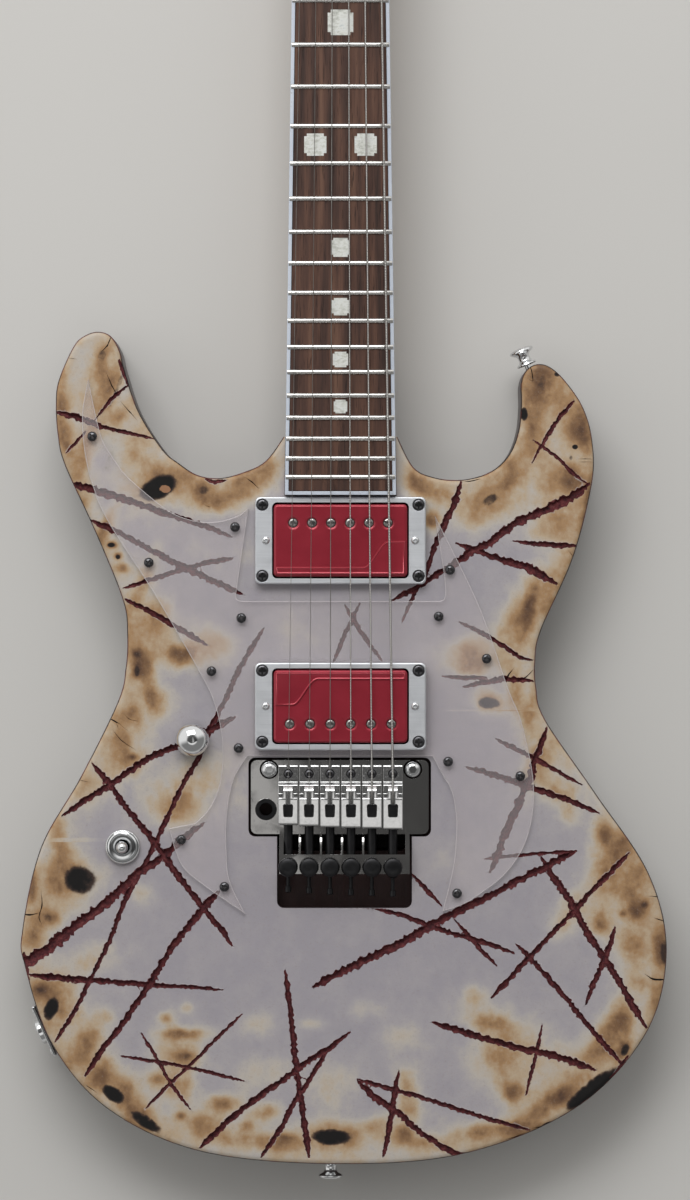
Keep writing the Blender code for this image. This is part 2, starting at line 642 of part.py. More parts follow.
def make_body():
    """Solid wood body with its wells, its recesses and the gouges in its front."""
    outline = smooth_run(millimetres(BODY_SIDE), OUTLINE_STEP)
    rim = [ring(offset(outline, -BODY_EDGE), 0), ring(offset(outline, -0.3 * BODY_EDGE),
                                                      0.3 * BODY_EDGE),
           ring(outline, BODY_EDGE), ring(outline, TOP - BODY_EDGE),
           ring(offset(outline, -0.3 * BODY_EDGE), TOP - 0.3 * BODY_EDGE),
           ring(offset(outline, -BODY_EDGE), TOP)]
    body = place("body", stack(rim))
    tongue = rounded(-HEEL_TONGUE_WIDTH / 2, BOARD_END_Y, HEEL_TONGUE_WIDTH / 2,
                     NECK_JOINT_Y + HEEL_TONGUE_LENGTH, 10 * MM)
    join(body, [prism(tongue, 0.6 * MM, POCKET_FLOOR)])

    outwards, sideways, jack_centre = jack_frame()
    pocket_end = NECK_JOINT_Y + HEEL_TONGUE_LENGTH + 10 * MM
    cavity = smooth_run(millimetres(CONTROL_CAVITY + CONTROL_CAVITY[:1]), 16 * MM)[:-1]
    wells = [
        prism(neck_outline(GAP, BOARD_END_Y - GAP, pocket_end), POCKET_FLOOR, TOP + 2 * MM),
        pickup_rout(NECK_PICKUP_Y),
        pickup_rout(BRIDGE_PICKUP_Y),
        prism(trem_rout_outline(), ROUT_FLOOR, TOP + 2 * MM),
        prism(trem_tail_outline(), ROUT_FLOOR, TOP + 2 * MM),
        prism(rounded(-BLOCK_LENGTH / 2 - 3 * MM, BLOCK_WELL_BACK, BLOCK_LENGTH / 2 + 3 * MM,
                      BLOCK_WELL_FRONT, 3 * MM), -MM, ROUT_FLOOR + MM),
        prism(rounded(-SPRING_WELL_WIDTH / 2, BLOCK_WELL_BACK + 4 * MM, SPRING_WELL_WIDTH / 2,
                      SPRING_WELL_END, 3 * MM), -MM, SPRING_WELL_DEPTH),
        prism(spring_cover_outline(GAP), -MM, COVER_THICKNESS + GAP),
        prism(cavity, -MM, TOP - CONTROL_TOP_WALL),
        prism(offset(cavity, COVER_LIP + GAP), -MM, COVER_THICKNESS + GAP),
        prism(circle(KNOB_X, KNOB_Y, BUSH_RADIUS + GAP, 16), COVER_THICKNESS, TOP + MM),
        prism(circle(SWITCH_X, SWITCH_Y, SWITCH_BUSH + GAP, 16), COVER_THICKNESS, TOP + MM),
        jack_slab(JACK_PLATE_LENGTH + MM, BODY_THICKNESS + 2 * MM, -GAP, 6 * MM),
        turned([(JACK_BARREL + MM, -24 * MM), (JACK_BARREL + MM, 3 * MM)], jack_centre,
               outwards, 16),
    ]
    for x in (STUD_LEFT_X, STUD_RIGHT_X):
        wells.append(prism(circle(x, PIVOT_Y, STUD_RADIUS + GAP, 12),
                           ROUT_FLOOR - STUD_DEPTH - GAP, ROUT_FLOOR + MM))
    for x in claw_screw_places():
        wells.append(turned([(1.8 * MM + GAP, 0), (1.8 * MM + GAP, 26 * MM)],
                            (x, SPRING_WELL_END - 4 * MM, SPRING_HEIGHT_Z), (0, 1, 0), 8))
    for spot, angle in ((HORN_BUTTON, HORN_ANGLE), (TAIL_BUTTON, TAIL_ANGLE)):
        axis = Vector((math.cos(angle), math.sin(angle), 0))
        hole = [(STRAP_SCREW_RADIUS + GAP, -STRAP_SCREW_LENGTH - MM),
                (STRAP_SCREW_RADIUS + GAP, 4 * MM)]
        wells.append(turned(hole, (*spot, MID_THICKNESS), axis, 8))
    for x in (-0.34 * HEEL_TONGUE_WIDTH, 0.34 * HEEL_TONGUE_WIDTH):
        for y in (NECK_JOINT_Y - 14 * MM, NECK_JOINT_Y + 24 * MM):
            wells.append(prism(circle(x, y, 6.5 * MM, 14), -MM, 3 * MM))
    cut(body, wells)

    dice = random.Random(7)
    cut(body, [gouge(points, start, end, dice) for points, start, end in GOUGES_PX])
    finish(body, (0.62, 0.58, 0.57), 0.45, 0.0)


def make_covers():
    """Back plates over the spring well and the control cavity."""
    spring_cover = prism(spring_cover_outline(0), 0, COVER_THICKNESS)
    finish(place("spring_cover", spring_cover), (0.02, 0.02, 0.02), 0.35, 0.0)
    cavity = smooth_run(millimetres(CONTROL_CAVITY + CONTROL_CAVITY[:1]), 16 * MM)[:-1]
    control_cover = prism(offset(cavity, COVER_LIP), 0, COVER_THICKNESS)
    finish(place("control_cover", control_cover), (0.02, 0.02, 0.02), 0.35, 0.0)


def make_pickguard():
    """Clear sheet on the front with its screws and the bridge pickup's opening."""
    outline = []
    for run in GUARD_RUNS:
        outline += smooth_run(millimetres(run), OUTLINE_STEP)[:-1]
    guard = place("pickguard", prism(outline, TOP + GAP, GUARD_TOP))
    half_length = RING_LENGTH / 2 - ROUT_MARGIN
    half_width = RING_WIDTH / 2 - ROUT_MARGIN
    opening = rounded(-half_length, BRIDGE_PICKUP_Y - half_width, half_length,
                      BRIDGE_PICKUP_Y + half_width, 4 * MM)
    cut(guard, [prism(opening, TOP - MM, GUARD_TOP + MM)])
    heads = []
    for x, y in millimetres(GUARD_SCREWS):
        heads.append(turned([(GUARD_SCREW_RADIUS, -0.5 * GUARD_THICKNESS),
                             (0.8 * GUARD_SCREW_RADIUS, GUARD_SCREW_HEIGHT)],
                            (x, y, GUARD_TOP), (0, 0, 1), 8))
    join(guard, heads)
    finish(guard, (0.72, 0.70, 0.69), 0.15, 0.0)


# Neck

def neck_section(y, back, squareness):
    """Half-round neck section; a high squareness makes the flat heel."""
    half = board_half_width(min(y, SCALE_LENGTH)) if y < SCALE_LENGTH else BOARD_WIDTH_AT_NUT / 2
    steps = 10
    points = []
    for index in range(steps + 1):
        turn = math.pi * index / steps
        x = half * math.copysign(abs(math.cos(turn)) ** (2 / squareness), math.cos(turn))
        drop = (NECK_TOP - back) * math.sin(turn) ** (2 / squareness)
        points.append((x, y, NECK_TOP - drop))
    return points


def headstock_outline():
    """Six-in-line headstock: a long edge beside the tuners and a slim tip."""
    half = BOARD_WIDTH_AT_NUT / 2
    first = tuner_place(1) + tuner_normal() * 13.5 * MM - tuner_line() * 13 * MM
    last = tuner_place(STRING_COUNT) + tuner_normal() * 13.5 * MM + tuner_line() * 12 * MM
    tip_y = last.y + 16 * MM
    run = [(half, SCALE_LENGTH - 6 * MM), (half + MM, SCALE_LENGTH + 12 * MM),
           (first.x - 6 * MM, first.y - 12 * MM), (first.x, first.y)]
    tip = [(last.x, last.y), (last.x - 8 * MM, tip_y - 5 * MM), (last.x - 20 * MM, tip_y),
           (last.x - 31 * MM, tip_y - 5 * MM), (last.x - 35 * MM, tip_y - 18 * MM)]
    treble = [(last.x - 35 * MM, tip_y - 18 * MM), (-half - 12 * MM, tip_y - 90 * MM),
              (-half - 8 * MM, SCALE_LENGTH + 40 * MM), (-half - 3 * MM, SCALE_LENGTH + 18 * MM),
              (-half, SCALE_LENGTH - 6 * MM)]
    outline = smooth_run(run, 8 * MM) + smooth_run(tip, 6 * MM)[:-1]
    return outline + smooth_run(treble, 14 * MM)


def tuner_line():
    """Direction of the row of tuners."""
    slant = -STRING_PITCH_AT_NUT
    return Vector((slant, TUNER_PITCH, 0)).normalized()


def tuner_normal():
    """Direction from the row of tuners out to their buttons."""
    line = tuner_line()
    return Vector((line.y, -line.x, 0))


def tuner_place(number):
    """Centre of a tuner post on the headstock, number 1 being the nearest to the nut."""
    string = STRING_COUNT + 1 - number
    wire = STRING_GAUGES[string - 1] * MM / 2
    x = string_x(string, STRING_PITCH_AT_NUT) + POST_RADIUS + GAP + wire
    return Vector((x, SCALE_LENGTH + TUNER_PAST_NUT + (number - 1) * TUNER_PITCH, 0))


def tuner_axis_z():
    """Height of the tuner button shafts."""
    return HEADSTOCK_BACK - HOUSING_DEPTH / 2 + 0.5 * MM


def make_neck():
    """Neck with its heel, headstock and the tuner housings under it."""
    back = NECK_TOP - SHAFT_THICKNESS
    heel_back = POCKET_FLOOR + GAP
    heel_end = NECK_JOINT_Y + HEEL_TONGUE_LENGTH
    nut_back = SCALE_LENGTH + NUT_LENGTH + 4 * MM
    sections = [neck_section(BOARD_END_Y, heel_back, 14),
                neck_section(heel_end - 8 * MM, heel_back, 14),
                neck_section(heel_end + 2 * MM, heel_back + 0.5 * MM, 6),
                neck_section(heel_end + 16 * MM, back - 1.5 * MM, 2.6),
                neck_section(heel_end + 40 * MM, back - MM, 2.3),
                neck_section(SCALE_LENGTH - 60 * MM, back + MM, 2.2),
                neck_section(SCALE_LENGTH, back + MM, 2.3),
                neck_section(nut_back, HEADSTOCK_BACK + 2 * MM, 3)]
    neck = place("neck", stack(sections))
    parts = [prism(headstock_outline(), HEADSTOCK_BACK, HEADSTOCK_TOP)]
    line = tuner_line()
    normal = tuner_normal()
    for number in range(1, STRING_COUNT + 1):
        spot = tuner_place(number)
        corners = []
        for along, across in ((-1, -1), (1, -1), (1, 1), (-1, 1)):
            corners.append(spot + line * along * HOUSING_LENGTH / 2
                           + normal * across * HOUSING_WIDTH / 2)
        parts.append(prism(corners, HEADSTOCK_BACK - HOUSING_DEPTH, HEADSTOCK_BACK + MM))
    join(neck, parts)
    holes = [box(-3.3 * MM - GAP, rod_start() - GAP, NECK_TOP - 9 * MM - GAP,
                 3.3 * MM + GAP, rod_end() + GAP, NECK_TOP + MM)]
    for number in range(1, STRING_COUNT + 1):
        spot = tuner_place(number)
        holes.append(prism(circle(spot.x, spot.y, POST_RADIUS + GAP, 12),
                           HEADSTOCK_BACK - HOUSING_DEPTH + HOUSING_WALL, NECK_TOP))
        shaft = Vector((spot.x, spot.y, tuner_axis_z())) + normal * (POST_RADIUS + MM)
        holes.append(turned([(BUTTON_SHAFT_RADIUS + GAP, 0), (BUTTON_SHAFT_RADIUS + GAP, HOUSING_WIDTH)],
                            shaft, normal, 8))
    cut(neck, holes)
    finish(neck, (0.42, 0.25, 0.13), 0.4, 0.0)


def rod_start():
    """End of the truss rod nearest to the body."""
    return BOARD_END_Y + 12 * MM


def rod_end():
    """End of the truss rod under the nut."""
    return SCALE_LENGTH - 8 * MM


def make_truss_rod():
    """Steel rod in its slot under the fretboard."""
    rod = box(-3.3 * MM, rod_start(), NECK_TOP - 9 * MM, 3.3 * MM, rod_end(), NECK_TOP - GAP)
    black_steel(place("truss_rod", rod))


def board_profile(half, y, lift):
    """Section of the fretboard with its slightly curved top."""
    low = BOARD_BOTTOM
    top = [(half * share, y, BOARD_TOP + lift - crown(half * share))
           for share in (1, 0.5, 0, -0.5, -1)]
    return [(-half, y, low), (half, y, low)] + top


def fret_y(number):
    """Place of a fret along the string."""
    return SCALE_LENGTH * 2 ** (-number / 12)


def make_fretboard():
    """Dark board with its frets, inside the pale binding."""
    end = BOARD_END_Y + BINDING_WIDTH + GAP
    sections = [board_profile(inner_half(end), end, 0)]
    for number in range(FRETS, 0, -1):
        for side, lift in ((-0.5, 0), (-0.3, FRET_HEIGHT), (0.3, FRET_HEIGHT), (0.5, 0)):
            y = fret_y(number) + side * FRET_WIDTH
            sections.append(board_profile(inner_half(y), y, lift))
    sections.append(board_profile(inner_half(SCALE_LENGTH), SCALE_LENGTH, 0))
    board = place("fretboard", stack(sections))
    finish(board, (0.07, 0.035, 0.025), 0.5, 0.0)


def inner_half(y):
    """Half of the width of the dark board between its bindings."""
    return board_half_width(y) - BINDING_WIDTH - GAP


def make_binding():
    """Pale edging along both sides of the board and across its end."""
    outer = [board_profile(board_half_width(y), y, 0) for y in (BOARD_END_Y, SCALE_LENGTH)]
    binding = place("fretboard_binding", stack(outer))
    start = BOARD_END_Y + BINDING_WIDTH
    past = SCALE_LENGTH + 5 * MM
    inside = [(-inner_half(start) - GAP, start), (inner_half(start) + GAP, start),
              (inner_half(past) + GAP, past), (-inner_half(past) - GAP, past)]
    cut(binding, [prism(inside, BOARD_BOTTOM - MM, BOARD_TOP + 2 * MM)])
    finish(binding, (0.78, 0.82, 0.86), 0.3, 0.0)


def string_at_nut(number):
    """Height of a string's middle line at the locking nut."""
    wire = STRING_GAUGES[number - 1] * MM / 2
    return BOARD_TOP + FRET_HEIGHT + 0.5 * MM + wire - crown(string_x(number, STRING_PITCH_AT_NUT))


def make_locking_nut():
    """Steel nut with three clamp blocks and a slot for each string."""
    front = SCALE_LENGTH + GAP
    half = BOARD_WIDTH_AT_NUT / 2
    nut = place("locking_nut", box(-half, front, NECK_TOP + GAP, half, front + NUT_LENGTH,
                                   BOARD_TOP + 2.6 * MM))
    blocks = []
    for index in (-1, 0, 1):
        x = index * 2 * STRING_PITCH_AT_NUT
        reach = STRING_PITCH_AT_NUT - 0.5 * MM
        block = rounded(x - reach, front + MM, x + reach, front + NUT_LENGTH - MM, 1.5 * MM, 2)
        blocks.append(prism(block, BOARD_TOP, BOARD_TOP + NUT_CLAMP_HEIGHT - 2.5 * MM))
        blocks.append(prism(circle(x, front + NUT_LENGTH / 2, 3.6 * MM, 12), BOARD_TOP,
                            BOARD_TOP + NUT_CLAMP_HEIGHT))
    join(nut, blocks)
    slots = []
    for number in range(1, STRING_COUNT + 1):
        x = string_x(number, STRING_PITCH_AT_NUT)
        half_slot = STRING_GAUGES[number - 1] * MM / 2 + GAP
        height = string_at_nut(number)
        slots.append(box(x - half_slot, front - MM, height - half_slot - 0.4 * MM,
                         x + half_slot, front + NUT_LENGTH + MM, height + half_slot))
    cut(nut, slots)
    black_steel(nut)


def bar_y():
    """Place of the string retainer bar."""
    return SCALE_LENGTH + NUT_LENGTH + 14 * MM


def bar_string_z():
    """Height of the strings under the retainer bar."""
    return BOARD_TOP - 0.5 * MM


def make_retainer_bar():
    """Bar that holds the strings down behind the nut."""
    radius = 2.4 * MM
    height = bar_string_z() + radius + STRING_GAUGES[-1] * MM / 2 + GAP
    half = STRING_PITCH_AT_NUT * 2.5 + 4 * MM
    bar = place("string_retainer_bar", turned([(radius, -half), (radius, half)],
                                              (0, bar_y(), height), (1, 0, 0), 10))
    posts = []
    for x in (-2 * STRING_PITCH_AT_NUT, 2 * STRING_PITCH_AT_NUT):
        posts.append(turned([(1.6 * MM, HEADSTOCK_TOP + GAP), (1.6 * MM, height + 1.5 * MM),
                             (1.3 * MM, height + 3.2 * MM)], (x, bar_y(), 0), (0, 0, 1), 8))
    join(bar, posts)
    black_steel(bar)


def make_tuners():
    """Six tuner posts and their buttons, each turning on its own axis."""
    normal = tuner_normal()
    for number in range(1, STRING_COUNT + 1):
        spot = tuner_place(number)
        foot = HEADSTOCK_BACK - HOUSING_DEPTH + HOUSING_WALL + GAP
        top = HEADSTOCK_TOP + POST_HEIGHT
        post = turned([(POST_RADIUS, foot), (POST_RADIUS, HEADSTOCK_TOP + 3 * MM),
                       (0.85 * POST_RADIUS, HEADSTOCK_TOP + 6 * MM), (POST_RADIUS, top - MM),
                       (0.85 * POST_RADIUS, top)], spot, (0, 0, 1), 10)
        chrome(place(f"tuner_post_{number}", post, spot + Vector((0, 0, top))))
        centre = Vector((spot.x, spot.y, tuner_axis_z()))
        chrome(place(f"tuner_button_{number}", tuner_button(centre, normal), centre))


def tuner_button(centre, normal):
    """Oval button on its worm shaft."""
    side = tuner_line()
    inner = BUTTON_REACH - BUTTON_LENGTH
    stations = [(POST_RADIUS + 1.3 * MM, BUTTON_SHAFT_RADIUS, BUTTON_SHAFT_RADIUS),
                (inner - MM, BUTTON_SHAFT_RADIUS, BUTTON_SHAFT_RADIUS),
                (inner, 0.5 * BUTTON_WIDTH, 0.75 * BUTTON_THICKNESS),
                (inner + 0.3 * BUTTON_LENGTH, BUTTON_WIDTH, BUTTON_THICKNESS),
                (inner + 0.75 * BUTTON_LENGTH, 0.95 * BUTTON_WIDTH, BUTTON_THICKNESS),
                (BUTTON_REACH, 0.55 * BUTTON_WIDTH, 0.5 * BUTTON_THICKNESS)]
    rings = []
    for distance, wide, thick in stations:
        loop = circle(0, 0, 1, 10)
        rings.append([centre + normal * distance + side * x * wide + Vector((0, 0, y * thick))
                      for x, y in loop])
    return stack(rings)


# Pickups

def step_outline(side):
    """The raised part of a pickup cover, bounded by an S-shaped edge.

    Side is 1 where the raised part lies towards the tail and -1 where it is turned half round.
    """
    half_length = COVER_LENGTH / 2 - MM
    half_width = COVER_WIDTH / 2 - MM
    low = -13.5 * MM
    high = -0.2 * MM
    start = 11.5 * MM
    width = 13 * MM
    points = [(-half_length, -half_width), (half_length, -half_width), (half_length, high)]
    for index in range(7):
        share = 1 - index / 6
        rise = share * share * (3 - 2 * share)
        points.append((start + width * share, low + (high - low) * rise))
    points.append((-half_length, low))
    return [(x * side, y * side) for x, y in points]


def make_pickup(name, y, side, seat, pole_pitch):
    """Metal-covered pickup with its mounting legs and six pole screws."""
    top = seat + RING_HEIGHT + PICKUP_RISE
    bottom = seat + RING_HEIGHT + PICKUP_RISE - PICKUP_DEPTH
    outline = rounded(-COVER_LENGTH / 2, y - COVER_WIDTH / 2, COVER_LENGTH / 2,
                      y + COVER_WIDTH / 2, 2 * MM)
    pickup = place(name, eased_prism(outline, bottom, top - PICKUP_STEP, 1.2 * MM))
    raised = [(x, y + along) for x, along in step_outline(side)]
    leg_end = RING_LENGTH / 2 - LEG_INSET
    leg = rounded(-leg_end, y - LEG_WIDTH / 2, leg_end, y + LEG_WIDTH / 2, 2 * MM, 2)
    extras = [prism(raised, top - 2 * PICKUP_STEP, top), prism(leg, bottom, bottom + LEG_THICKNESS)]
    for number in range(1, STRING_COUNT + 1):
        pole = circle(string_x(number, pole_pitch), y + side * POLE_OFFSET, POLE_RADIUS, 10)
        extras.append(prism(pole, top - 3 * MM, top - 0.1 * MM))
    join(pickup, extras)
    holes = []
    for x in (-HEIGHT_SCREW_X, HEIGHT_SCREW_X):
        holes.append(prism(circle(x, y, HEIGHT_SCREW_RADIUS + GAP, 8), bottom - MM,
                           bottom + 3 * MM))
    cut(pickup, holes)
    finish(pickup, (0.45, 0.04, 0.06), 0.3, 0.7)


def make_ring(name, y, seat):
    """Brushed frame round a pickup with its corner screws and height screws."""
    outline = rounded(-RING_LENGTH / 2, y - RING_WIDTH / 2, RING_LENGTH / 2,
                      y + RING_WIDTH / 2, RING_CORNER)
    frame = place(name, eased_prism(outline, seat, seat + RING_HEIGHT, 0.8 * MM))
    window = rounded(-WINDOW_LENGTH / 2, y - WINDOW_WIDTH / 2, WINDOW_LENGTH / 2,
                     y + WINDOW_WIDTH / 2, 2.5 * MM)
    cut(frame, [prism(window, seat - MM, seat + RING_HEIGHT + MM)])
    top = seat + RING_HEIGHT
    foot = seat + RING_HEIGHT + PICKUP_RISE - PICKUP_DEPTH - 1.5 * MM
    screws = []
    for x in (-RING_SCREW_X, RING_SCREW_X):
        for along in (-RING_SCREW_Y, RING_SCREW_Y):
            screws.append(turned([(RING_SCREW_RADIUS, -MM), (RING_SCREW_RADIUS, 0.2 * MM),
                                  (0.7 * RING_SCREW_RADIUS, 0.8 * MM)],
                                 (x, y + along, top), (0, 0, 1), 8))
    for x in (-HEIGHT_SCREW_X, HEIGHT_SCREW_X):
        screws.append(turned([(HEIGHT_SCREW_RADIUS, foot - top), (HEIGHT_SCREW_RADIUS, -0.6 * MM),
                              (2 * MM, -0.5 * MM), (2 * MM, 0.6 * MM)],
                             (x, y, top), (0, 0, 1), 8))
    join(frame, screws)
    finish(frame, (0.72, 0.74, 0.76), 0.3, 1.0)


def make_pickups():
    """Both pickups: one on the bare body, one on the guard and turned half round."""
    make_ring("neck_pickup_ring", NECK_PICKUP_Y, TOP + GAP)
    make_pickup("neck_pickup", NECK_PICKUP_Y, 1, TOP + GAP, NECK_POLE_PITCH)
    make_ring("bridge_pickup_ring", BRIDGE_PICKUP_Y, GUARD_TOP + GAP)
    make_pickup("bridge_pickup", BRIDGE_PICKUP_Y, -1, GUARD_TOP + GAP, BRIDGE_POLE_PITCH)


# Tremolo

def pivot_point():
    """Middle of the line that the whole tremolo turns on."""
    return 0, PIVOT_Y, PIVOT_Z


def make_baseplate():
    """Plate on two knife edges, with its arm socket and the shelf of the fine tuners."""
    plate = place("trem_baseplate", prism(rounded(PLATE_LEFT, PLATE_BACK, PLATE_RIGHT,
                                                  PLATE_FRONT, PLATE_CORNER),
                                          PLATE_BOTTOM, PLATE_TOP), pivot_point())
    inner_left = SHELF_LEFT + SHELF_RAIL
    inner_right = SHELF_RIGHT - SHELF_RAIL
    rails = []
    for x in (SHELF_LEFT, inner_right):
        rails.append(side_prism([(PLATE_BACK + 3 * MM, PLATE_BOTTOM), (SHELF_BACK, PLATE_BOTTOM),
                                 (SHELF_BACK, SHELF_TOP), (WINDOW_BACK, SHELF_TOP),
                                 (PLATE_BACK + 3 * MM, PLATE_TOP)], x, x + SHELF_RAIL))
    shelf = box(inner_left - MM, SHELF_BACK, SHELF_UNDER, inner_right + MM, WINDOW_BACK, SHELF_TOP)
    bush = prism(circle(ARM_X, ARM_Y, ARM_BUSH_RADIUS, 16), PLATE_BOTTOM - 4 * MM,
                 PLATE_TOP + ARM_BUSH_RISE)
    walls = []
    for x in DIVIDERS:
        left = x * MM - DIVIDER_WIDTH / 2
        walls.append(side_prism([(PLATE_BACK + 2 * MM, PLATE_BOTTOM), (WINDOW_BACK, PLATE_BOTTOM),
                                 (WINDOW_BACK - MM, SHELF_UNDER + MM), (WINDOW_BACK, SHELF_TOP),
                                 (WINDOW_FRONT, SHELF_UNDER - MM)],
                                left, left + DIVIDER_WIDTH))
    join(plate, rails + [shelf, bush] + walls)
    holes = [prism(circle(ARM_X, ARM_Y, ARM_HOLE_RADIUS, 16), PLATE_BOTTOM - 5 * MM,
                   PLATE_TOP + 5 * MM)]
    for x in (STUD_LEFT_X, STUD_RIGHT_X):
        holes.append(prism(circle(x, PIVOT_Y, STUD_RADIUS + STUD_CLEARANCE, 16),
                           PLATE_BOTTOM - MM, PLATE_TOP + MM))
    for number in range(1, STRING_COUNT + 1):
        holes.append(prism(circle(string_x(number, STRING_PITCH), FINE_TUNER_Y,
                                  FINE_TUNER_STEM + GAP, 10), SHELF_UNDER - MM, SHELF_TOP + MM))
    cut(plate, holes)
    chrome(plate)


def make_trem_block():
    """Heavy block under the plate that the springs pull on."""
    half = BLOCK_LENGTH / 2
    block = box(-half, BLOCK_FRONT - BLOCK_THICKNESS, BLOCK_FOOT_Z, half, BLOCK_FRONT,
                PLATE_BOTTOM - GAP)
    block = place("trem_block", block, pivot_point())
    finish(block, (0.45, 0.45, 0.46), 0.4, 0.9)


def make_saddle(number):
    """Saddle that clamps one string, with its long lock screw."""
    x = string_x(number, STRING_PITCH)
    back = SADDLE_BACK + SADDLE_STAGGER[number - 1] * MM
    half = SADDLE_WIDTH / 2
    crest = STRING_HEIGHT_AT_SADDLE - crown(x) - GAP
    base = side_prism([(back, SADDLE_BASE), (SADDLE_FRONT, SADDLE_BASE),
                       (SADDLE_FRONT, SADDLE_BASE + 2.6 * MM), (SADDLE_NOSE, SADDLE_BASE + 3 * MM),
                       (SADDLE_NOSE - MM, SADDLE_BASE + 5.4 * MM),
                       (SADDLE_SHOULDER, SADDLE_BASE + 6 * MM),
                       (SADDLE_SHOULDER, crest - 1.2 * MM), (back + 2 * MM, crest - 1.6 * MM),
                       (back, crest - 3 * MM)], x - half, x + half)
    saddle = place(f"saddle_{number}", base, pivot_point())
    crest_half = CREST_WIDTH / 2
    tower = side_prism([(SADDLE_SHOULDER - 2 * MM, SADDLE_BASE + MM), (2.4 * MM, SADDLE_BASE + MM),
                        (2.4 * MM, crest - 2.2 * MM), (1.4 * MM, crest - 0.6 * MM), (0, crest),
                        (-1.4 * MM, crest - 0.5 * MM), (SADDLE_SHOULDER - 2 * MM, crest - 1.4 * MM)],
                       x - crest_half, x + crest_half)
    screw = turned([(LOCK_SCREW_RADIUS, 0), (LOCK_SCREW_RADIUS, -LOCK_SCREW_BACK + back),
                    (0.9 * MM, -LOCK_SCREW_BACK + back + 0.4 * MM),
                    (0.9 * MM, -LOCK_TAIL_BACK + back - 3.6 * MM),
                    (1.5 * MM, -LOCK_TAIL_BACK + back - 3.4 * MM), (1.5 * MM, -LOCK_TAIL_BACK + back)],
                   (x, back + 2 * MM, LOCK_SCREW_Z), (0, -1, 0), 8)
    join(saddle, [tower, screw])
    slot = box(x - SLOT_WIDTH / 2, CLAMP_FRONT, SADDLE_BASE + 5 * MM, x + SLOT_WIDTH / 2,
               -0.5 * MM, crest + MM)
    pocket = box(x - CLAMP_WIDTH / 2, CLAMP_BACK, crest - 2.8 * MM, x + CLAMP_WIDTH / 2,
                 CLAMP_FRONT + 0.2 * MM, crest + MM)
    hole = prism(circle(x, SADDLE_FRONT - 4.5 * MM, 1.8 * MM, 10), SADDLE_BASE + MM,
                 SADDLE_BASE + 5 * MM)
    cut(saddle, [slot, pocket, hole])
    chrome(saddle)


def make_fine_tuner(number):
    """Thumb screw that presses on a lock screw."""
    x = string_x(number, STRING_PITCH)
    seat = SHELF_TOP + GAP
    height = FINE_TUNER_HEIGHT
    profile = [(FINE_TUNER_STEM, LOCK_SCREW_Z + LOCK_SCREW_RADIUS + GAP - seat),
               (FINE_TUNER_STEM, -0.1 * MM), (0.93 * FINE_TUNER_RADIUS, 0),
               (FINE_TUNER_RADIUS, 0.6 * MM), (FINE_TUNER_RADIUS, height - 0.9 * MM),
               (0.86 * FINE_TUNER_RADIUS, height)]
    spot = (x, FINE_TUNER_Y, seat)
    black_steel(place(f"fine_tuner_{number}", turned(profile, spot, (0, 0, 1), 12), spot))


def make_studs():
    """Two studs that the plate's knife edges bear on."""
    for number, x in ((1, STUD_LEFT_X), (2, STUD_RIGHT_X)):
        profile = [(STUD_RADIUS, ROUT_FLOOR - STUD_DEPTH), (STUD_RADIUS, ROUT_FLOOR),
                   (STUD_WAIST, ROUT_FLOOR + 0.5 * MM), (STUD_WAIST, PLATE_TOP + GAP),
                   (STUD_RADIUS, PLATE_TOP + GAP + 0.2 * MM), (STUD_RADIUS, PLATE_TOP + 2 * MM),
                   (0.85 * STUD_RADIUS, PLATE_TOP + 2.6 * MM)]
        stud = turned(profile, (x, PIVOT_Y, 0), (0, 0, 1), 16)
        chrome(place(f"pivot_stud_{number}", stud))


def claw_screw_places():
    """Sideways places of the two long screws that hold the spring claw."""
    return (-0.3 * SPRING_WELL_WIDTH - 3 * MM, 0.3 * SPRING_WELL_WIDTH + 3 * MM)


def make_springs():
    """Three tremolo springs between the block and the claw, and the claw on its screws."""
    for number, x in enumerate(SPRING_X, 1):
        start = BLOCK_FRONT + GAP
        end = CLAW_Y - GAP
        length = end - start
        profile = [(1.2 * MM, 0), (1.2 * MM, 4 * MM), (SPRING_RADIUS, 6 * MM),
                   (SPRING_RADIUS, length - 8 * MM), (1.2 * MM, length - 6 * MM),
                   (1.2 * MM, length)]
        spring = turned(profile, (x * MM, start, SPRING_HEIGHT_Z), (0, 1, 0), 10)
        finish(place(f"trem_spring_{number}", spring), (0.5, 0.5, 0.5), 0.35, 1.0)
    half = SPRING_WELL_WIDTH / 2 - 3 * MM
    claw = place("spring_claw", box(-half, CLAW_Y, SPRING_HEIGHT_Z - 5 * MM, half,
                                    CLAW_Y + CLAW_THICKNESS, SPRING_HEIGHT_Z + 5 * MM))
    screws = []
    for x in claw_screw_places():
        screws.append(turned([(3.4 * MM, -2.2 * MM), (3.4 * MM, MM), (1.8 * MM, 1.2 * MM),
                              (1.8 * MM, 24 * MM)],
                             (x, CLAW_Y, SPRING_HEIGHT_Z), (0, 1, 0), 8))
    join(claw, screws)
    finish(claw, (0.5, 0.5, 0.5), 0.35, 1.0)


def make_tremolo():
    """The whole double-locking tremolo."""
    make_baseplate()
    make_trem_block()
    for number in range(1, STRING_COUNT + 1):
        make_saddle(number)
        make_fine_tuner(number)
    make_studs()
    make_springs()


# Controls

